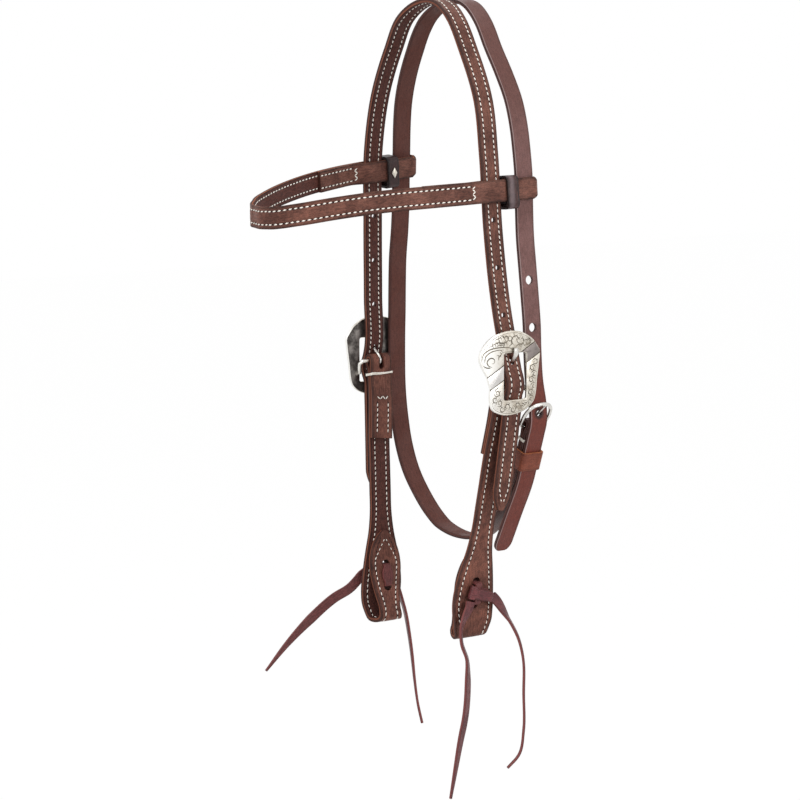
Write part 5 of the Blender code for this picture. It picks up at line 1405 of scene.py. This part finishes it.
def scrollStrokes():
    strokes = []
    for number, points in enumerate(leafLines):
        line = smoothFlat(points, 6)
        strokes.append((flatLine(line), 0.50 if number < 8 else 0.36))
        if number > 2:
            hand = 1 if number % 2 else -1
            strokes += sproutLeaves(line, hand, 2.0, 2.6)
            strokes += sproutLeaves(line, -hand, 2.9, 1.9)
    # scrolls along the vine, curling left and right in turn
    plan = scrollPlan
    vine = smoothFlat(vinePath, 8)
    marks = marksAlong(vine)
    for number in range(int(marks[-1] / plan["pitch"])):
        index = min(bisect_right(marks, (number + 0.5) * plan["pitch"]), len(vine) - 2)
        way = (vine[index + 1] - vine[index - 1]).normalized()
        hand = 1 if number % 2 else -1
        centre = vine[index] + Vector((-way.y, way.x, 0.0)) * hand * plan["offset"]
        start = math.atan2(-way.x * hand, way.y * hand)
        curl = []
        for step in range(plan["steps"] + 1):
            share = step / plan["steps"]
            radius = plan["radius"] * math.exp(-plan["shrink"] * share)
            angle = start + hand * share * plan["turn"]
            curl.append(centre + Vector((radius * math.cos(angle), radius * math.sin(angle), 0.0)))
        strokes.append((flatLine(curl), 0.42))
        strokes += sproutLeaves(curl[:14], -hand, 2.1, 1.9)
    return strokes


dotPlan = {
    "rows": 90, "columns": 84, "pitch": 0.72, "left": -34.0, "low": -30.0, "jitter": 0.08, "clear": 0.60,
}


def groundDots(strokes):
    # fine matting between the strokes, on the vine's side of the plate
    plan = dotPlan
    drawn = [place for points, width in strokes for place in points]
    finder = kdtree.KDTree(len(drawn))
    for index, (back, up) in enumerate(drawn):
        finder.insert((back, up, 0.0), index)
    finder.balance()
    dots = []
    for row in range(plan["rows"]):
        for column in range(plan["columns"]):
            back = plan["left"] + plan["pitch"] * (column + 0.5 * (row % 2))
            back += shuffle.uniform(-plan["jitter"], plan["jitter"])
            up = plan["low"] + plan["pitch"] * row + shuffle.uniform(-plan["jitter"], plan["jitter"])
            if (back > 4.0 or up < -13.0) and finder.find((back, up, 0.0))[2] > plan["clear"]:
                dots.append(([(back - 0.16, up), (back, up + 0.02), (back + 0.16, up)], 0.21))
    return dots


def borderLines():
    # one line inside the rim and one round the window
    loop = smoothFlat(rimPoints, 5, closed=True)
    centre = Vector((-3.0, 2.0, 0.0))
    inset = []
    for index, place in enumerate(loop):
        tangent = loop[(index + 1) % len(loop)] - loop[index - 1]
        inward = Vector((-tangent.y, tangent.x, 0.0)).normalized()
        if inward.dot(centre - place) < 0:
            inward = -inward
        inset.append(place + inward * 1.5)
    left, right, low, high = bucklePlan["windowLine"]
    corners = [(left, low), (right, low), (right, high), (left, high), (left, low)]
    fine = []
    for (x1, y1), (x2, y2) in zip(corners, corners[1:]):
        fine += [(x1 + (x2 - x1) * step / 24, y1 + (y2 - y1) * step / 24) for step in range(24)]
    return [flatLine(inset + inset[:1]), fine + fine[:1]]


def engrave(side):
    grooves, radii = [], []

    def swelling(share, steady):
        # a stroke swells and thins, a steady line is thin only at its ends
        if steady:
            return min(1.0, 3 * min(share, 1.0 - share) + 0.3)
        return 0.25 + 0.75 * math.sin(math.pi * share**0.7)

    def keepRuns(points, width, margin, steady):
        # the stretches of a line that lie on the ground
        run = []
        for place in list(points) + [None]:
            if place and insideRim(place[0], place[1], margin):
                run.append(place)
                continue
            last = len(run) - 1
            if last > 1:
                grooves.append([Vector((0.0, x, y)) * mm for x, y in run])
                radii.append([width * swelling(index / last, steady) for index in range(last + 1)])
            run = []

    strokes = scrollStrokes()
    for points, width in strokes + groundDots(strokes):
        keepRuns(points, width, 1.7, width < 0.22)
    for points in borderLines():
        keepRuns(points, 0.17, 0.8, True)
    piece = wirePiece(side + "Engraving", grooves, 1.0 * mm, radii=radii, resolution=0)
    for vertex in piece.data.vertices:
        vertex.co.x = bucklePlan["face"] + vertex.co.x * 0.28
        vertex.co.y *= sideSign[side]
    if side == "off":
        piece.data.flip_normals()
    hangOn(piece, side, "headstall", "engraved_silver", blackening)
    print(side, "engraving strokes", len(grooves))


plateFinishes = {
    "plain": silver, "band": bandSilver, "back": oldSilver, "line": blackening, "shadedBand": shadedBand,
}


def plateFinish(back, up, out, normal):
    gap, half = bandGap(back, up), bucklePlan["bandHalf"]
    depth = bucklePlan["face"] - out
    if out < bucklePlan["back"] - 0.2 * mm:
        return "plain"
    if depth > 1.5 * mm:
        return "back" if abs(normal.x) > 0.75 else "plain"
    if depth < 0.1 * mm:
        # the band's far half takes the copy painted darker as shade
        return ("shadedBand" if back > 10.0 else "band") if gap < half - 0.3 else "plain"
    if abs(gap - half) < 0.75 and abs(normal.y) < 0.75 and depth < 0.75 * mm:
        return "line"
    return "plain"


def makeBucklePlate(side):
    # the CAD plate with its edges softened and a finish chosen for each face
    plate = addPiece(side + "CartBuckle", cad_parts[side + "_cart_buckle"].data.copy())
    choose(plate)
    bpy.ops.object.mode_set(mode="EDIT")
    bpy.ops.mesh.select_all(action="SELECT")
    bpy.ops.mesh.remove_doubles(threshold=0.01 * mm)
    bpy.ops.mesh.dissolve_limited(angle_limit=math.radians(1.5))
    bpy.ops.object.mode_set(mode="OBJECT")
    soften(plate, 0.22 * mm, 2, 28.0, True)
    bpy.ops.object.shade_smooth_by_angle(angle=math.radians(32.0))
    finishes = list(plateFinishes)
    settle(plate, "headstall", "engraved_silver", silver, side + "_cart_buckle")
    for finish in finishes[1:]:
        plate.data.materials.append(plateFinishes[finish])
    for face in plate.data.polygons:
        centre = face.center - bars[side]
        out, back = centre.x * sideSign[side], centre.y / mm * sideSign[side]
        chosen = plateFinish(back, centre.z / mm, out, face.normal)
        face.material_index = finishes.index(chosen)


for buckleSide in bars:
    makeBucklePlate(buckleSide)
    engrave(buckleSide)
print("cart buckles softened and engraved")


# floor, world and lamps
def seenDirectly(tree):
    # white for the camera and in reflections, while the floor and world light the piece plainly
    path = addNode(tree, "ShaderNodeLightPath").outputs
    mirrored = calc(tree, "MAXIMUM", path["Is Glossy Ray"], path["Is Transmission Ray"])
    return calc(tree, "MAXIMUM", path["Is Camera Ray"], mirrored)


def makeStage():
    floor = startFrom(bpy.ops.mesh.primitive_plane_add, size=14.0, location=(0.0, 0.0, -0.95))
    floor.name = "floor"
    material, tree, shader = newMaterial("paleFloor")
    setSockets(tree, shader, {"Base Color": (0.80, 0.80, 0.79, 1.0), "Roughness": 0.9})
    white = addNode(tree, "ShaderNodeEmission", {"Color": (1.0, 1.0, 1.0, 1.0), "Strength": 1.04})
    mix = {0: times(tree, seenDirectly(tree), 0.92), 1: shader.outputs[0], 2: white.outputs[0]}
    mix = addNode(tree, "ShaderNodeMixShader", mix)
    tree.links.new(mix.outputs[0], tree.nodes["Material Output"].inputs["Surface"])
    floor.data.materials.append(material)
    world = bpy.data.worlds.new("studio")
    bpy.context.scene.world = world
    world.use_nodes = True
    tree = world.node_tree
    strength = calc(tree, "MULTIPLY_ADD", seenDirectly(tree), 0.45, 0.55)
    setSockets(tree, tree.nodes["Background"], {"Color": (1.0, 1.0, 1.0, 1.0), "Strength": strength})


def addLamp(name, place, aim, size, power):
    lamp = startFrom(bpy.ops.object.light_add, type="AREA", location=place)
    lamp.name = name
    lamp.rotation_euler = (Vector(aim) - Vector(place)).to_track_quat("-Z", "Y").to_euler()
    lamp.data.size = size
    lamp.data.energy = power


makeStage()
addLamp("keyLamp", (0.2, -1.9, 1.0), (0.0, 0.0, -0.3), 1.2, 22.0)
addLamp("sideLamp", (1.9, 0.3, 0.3), (0.0, 0.0, -0.3), 0.9, 16.0)
addLamp("topLamp", (0.3, 0.3, 1.9), (0.0, 0.0, -0.2), 1.2, 9.0)
bpy.context.scene.view_settings.view_transform = "Standard"
print("stage lit")
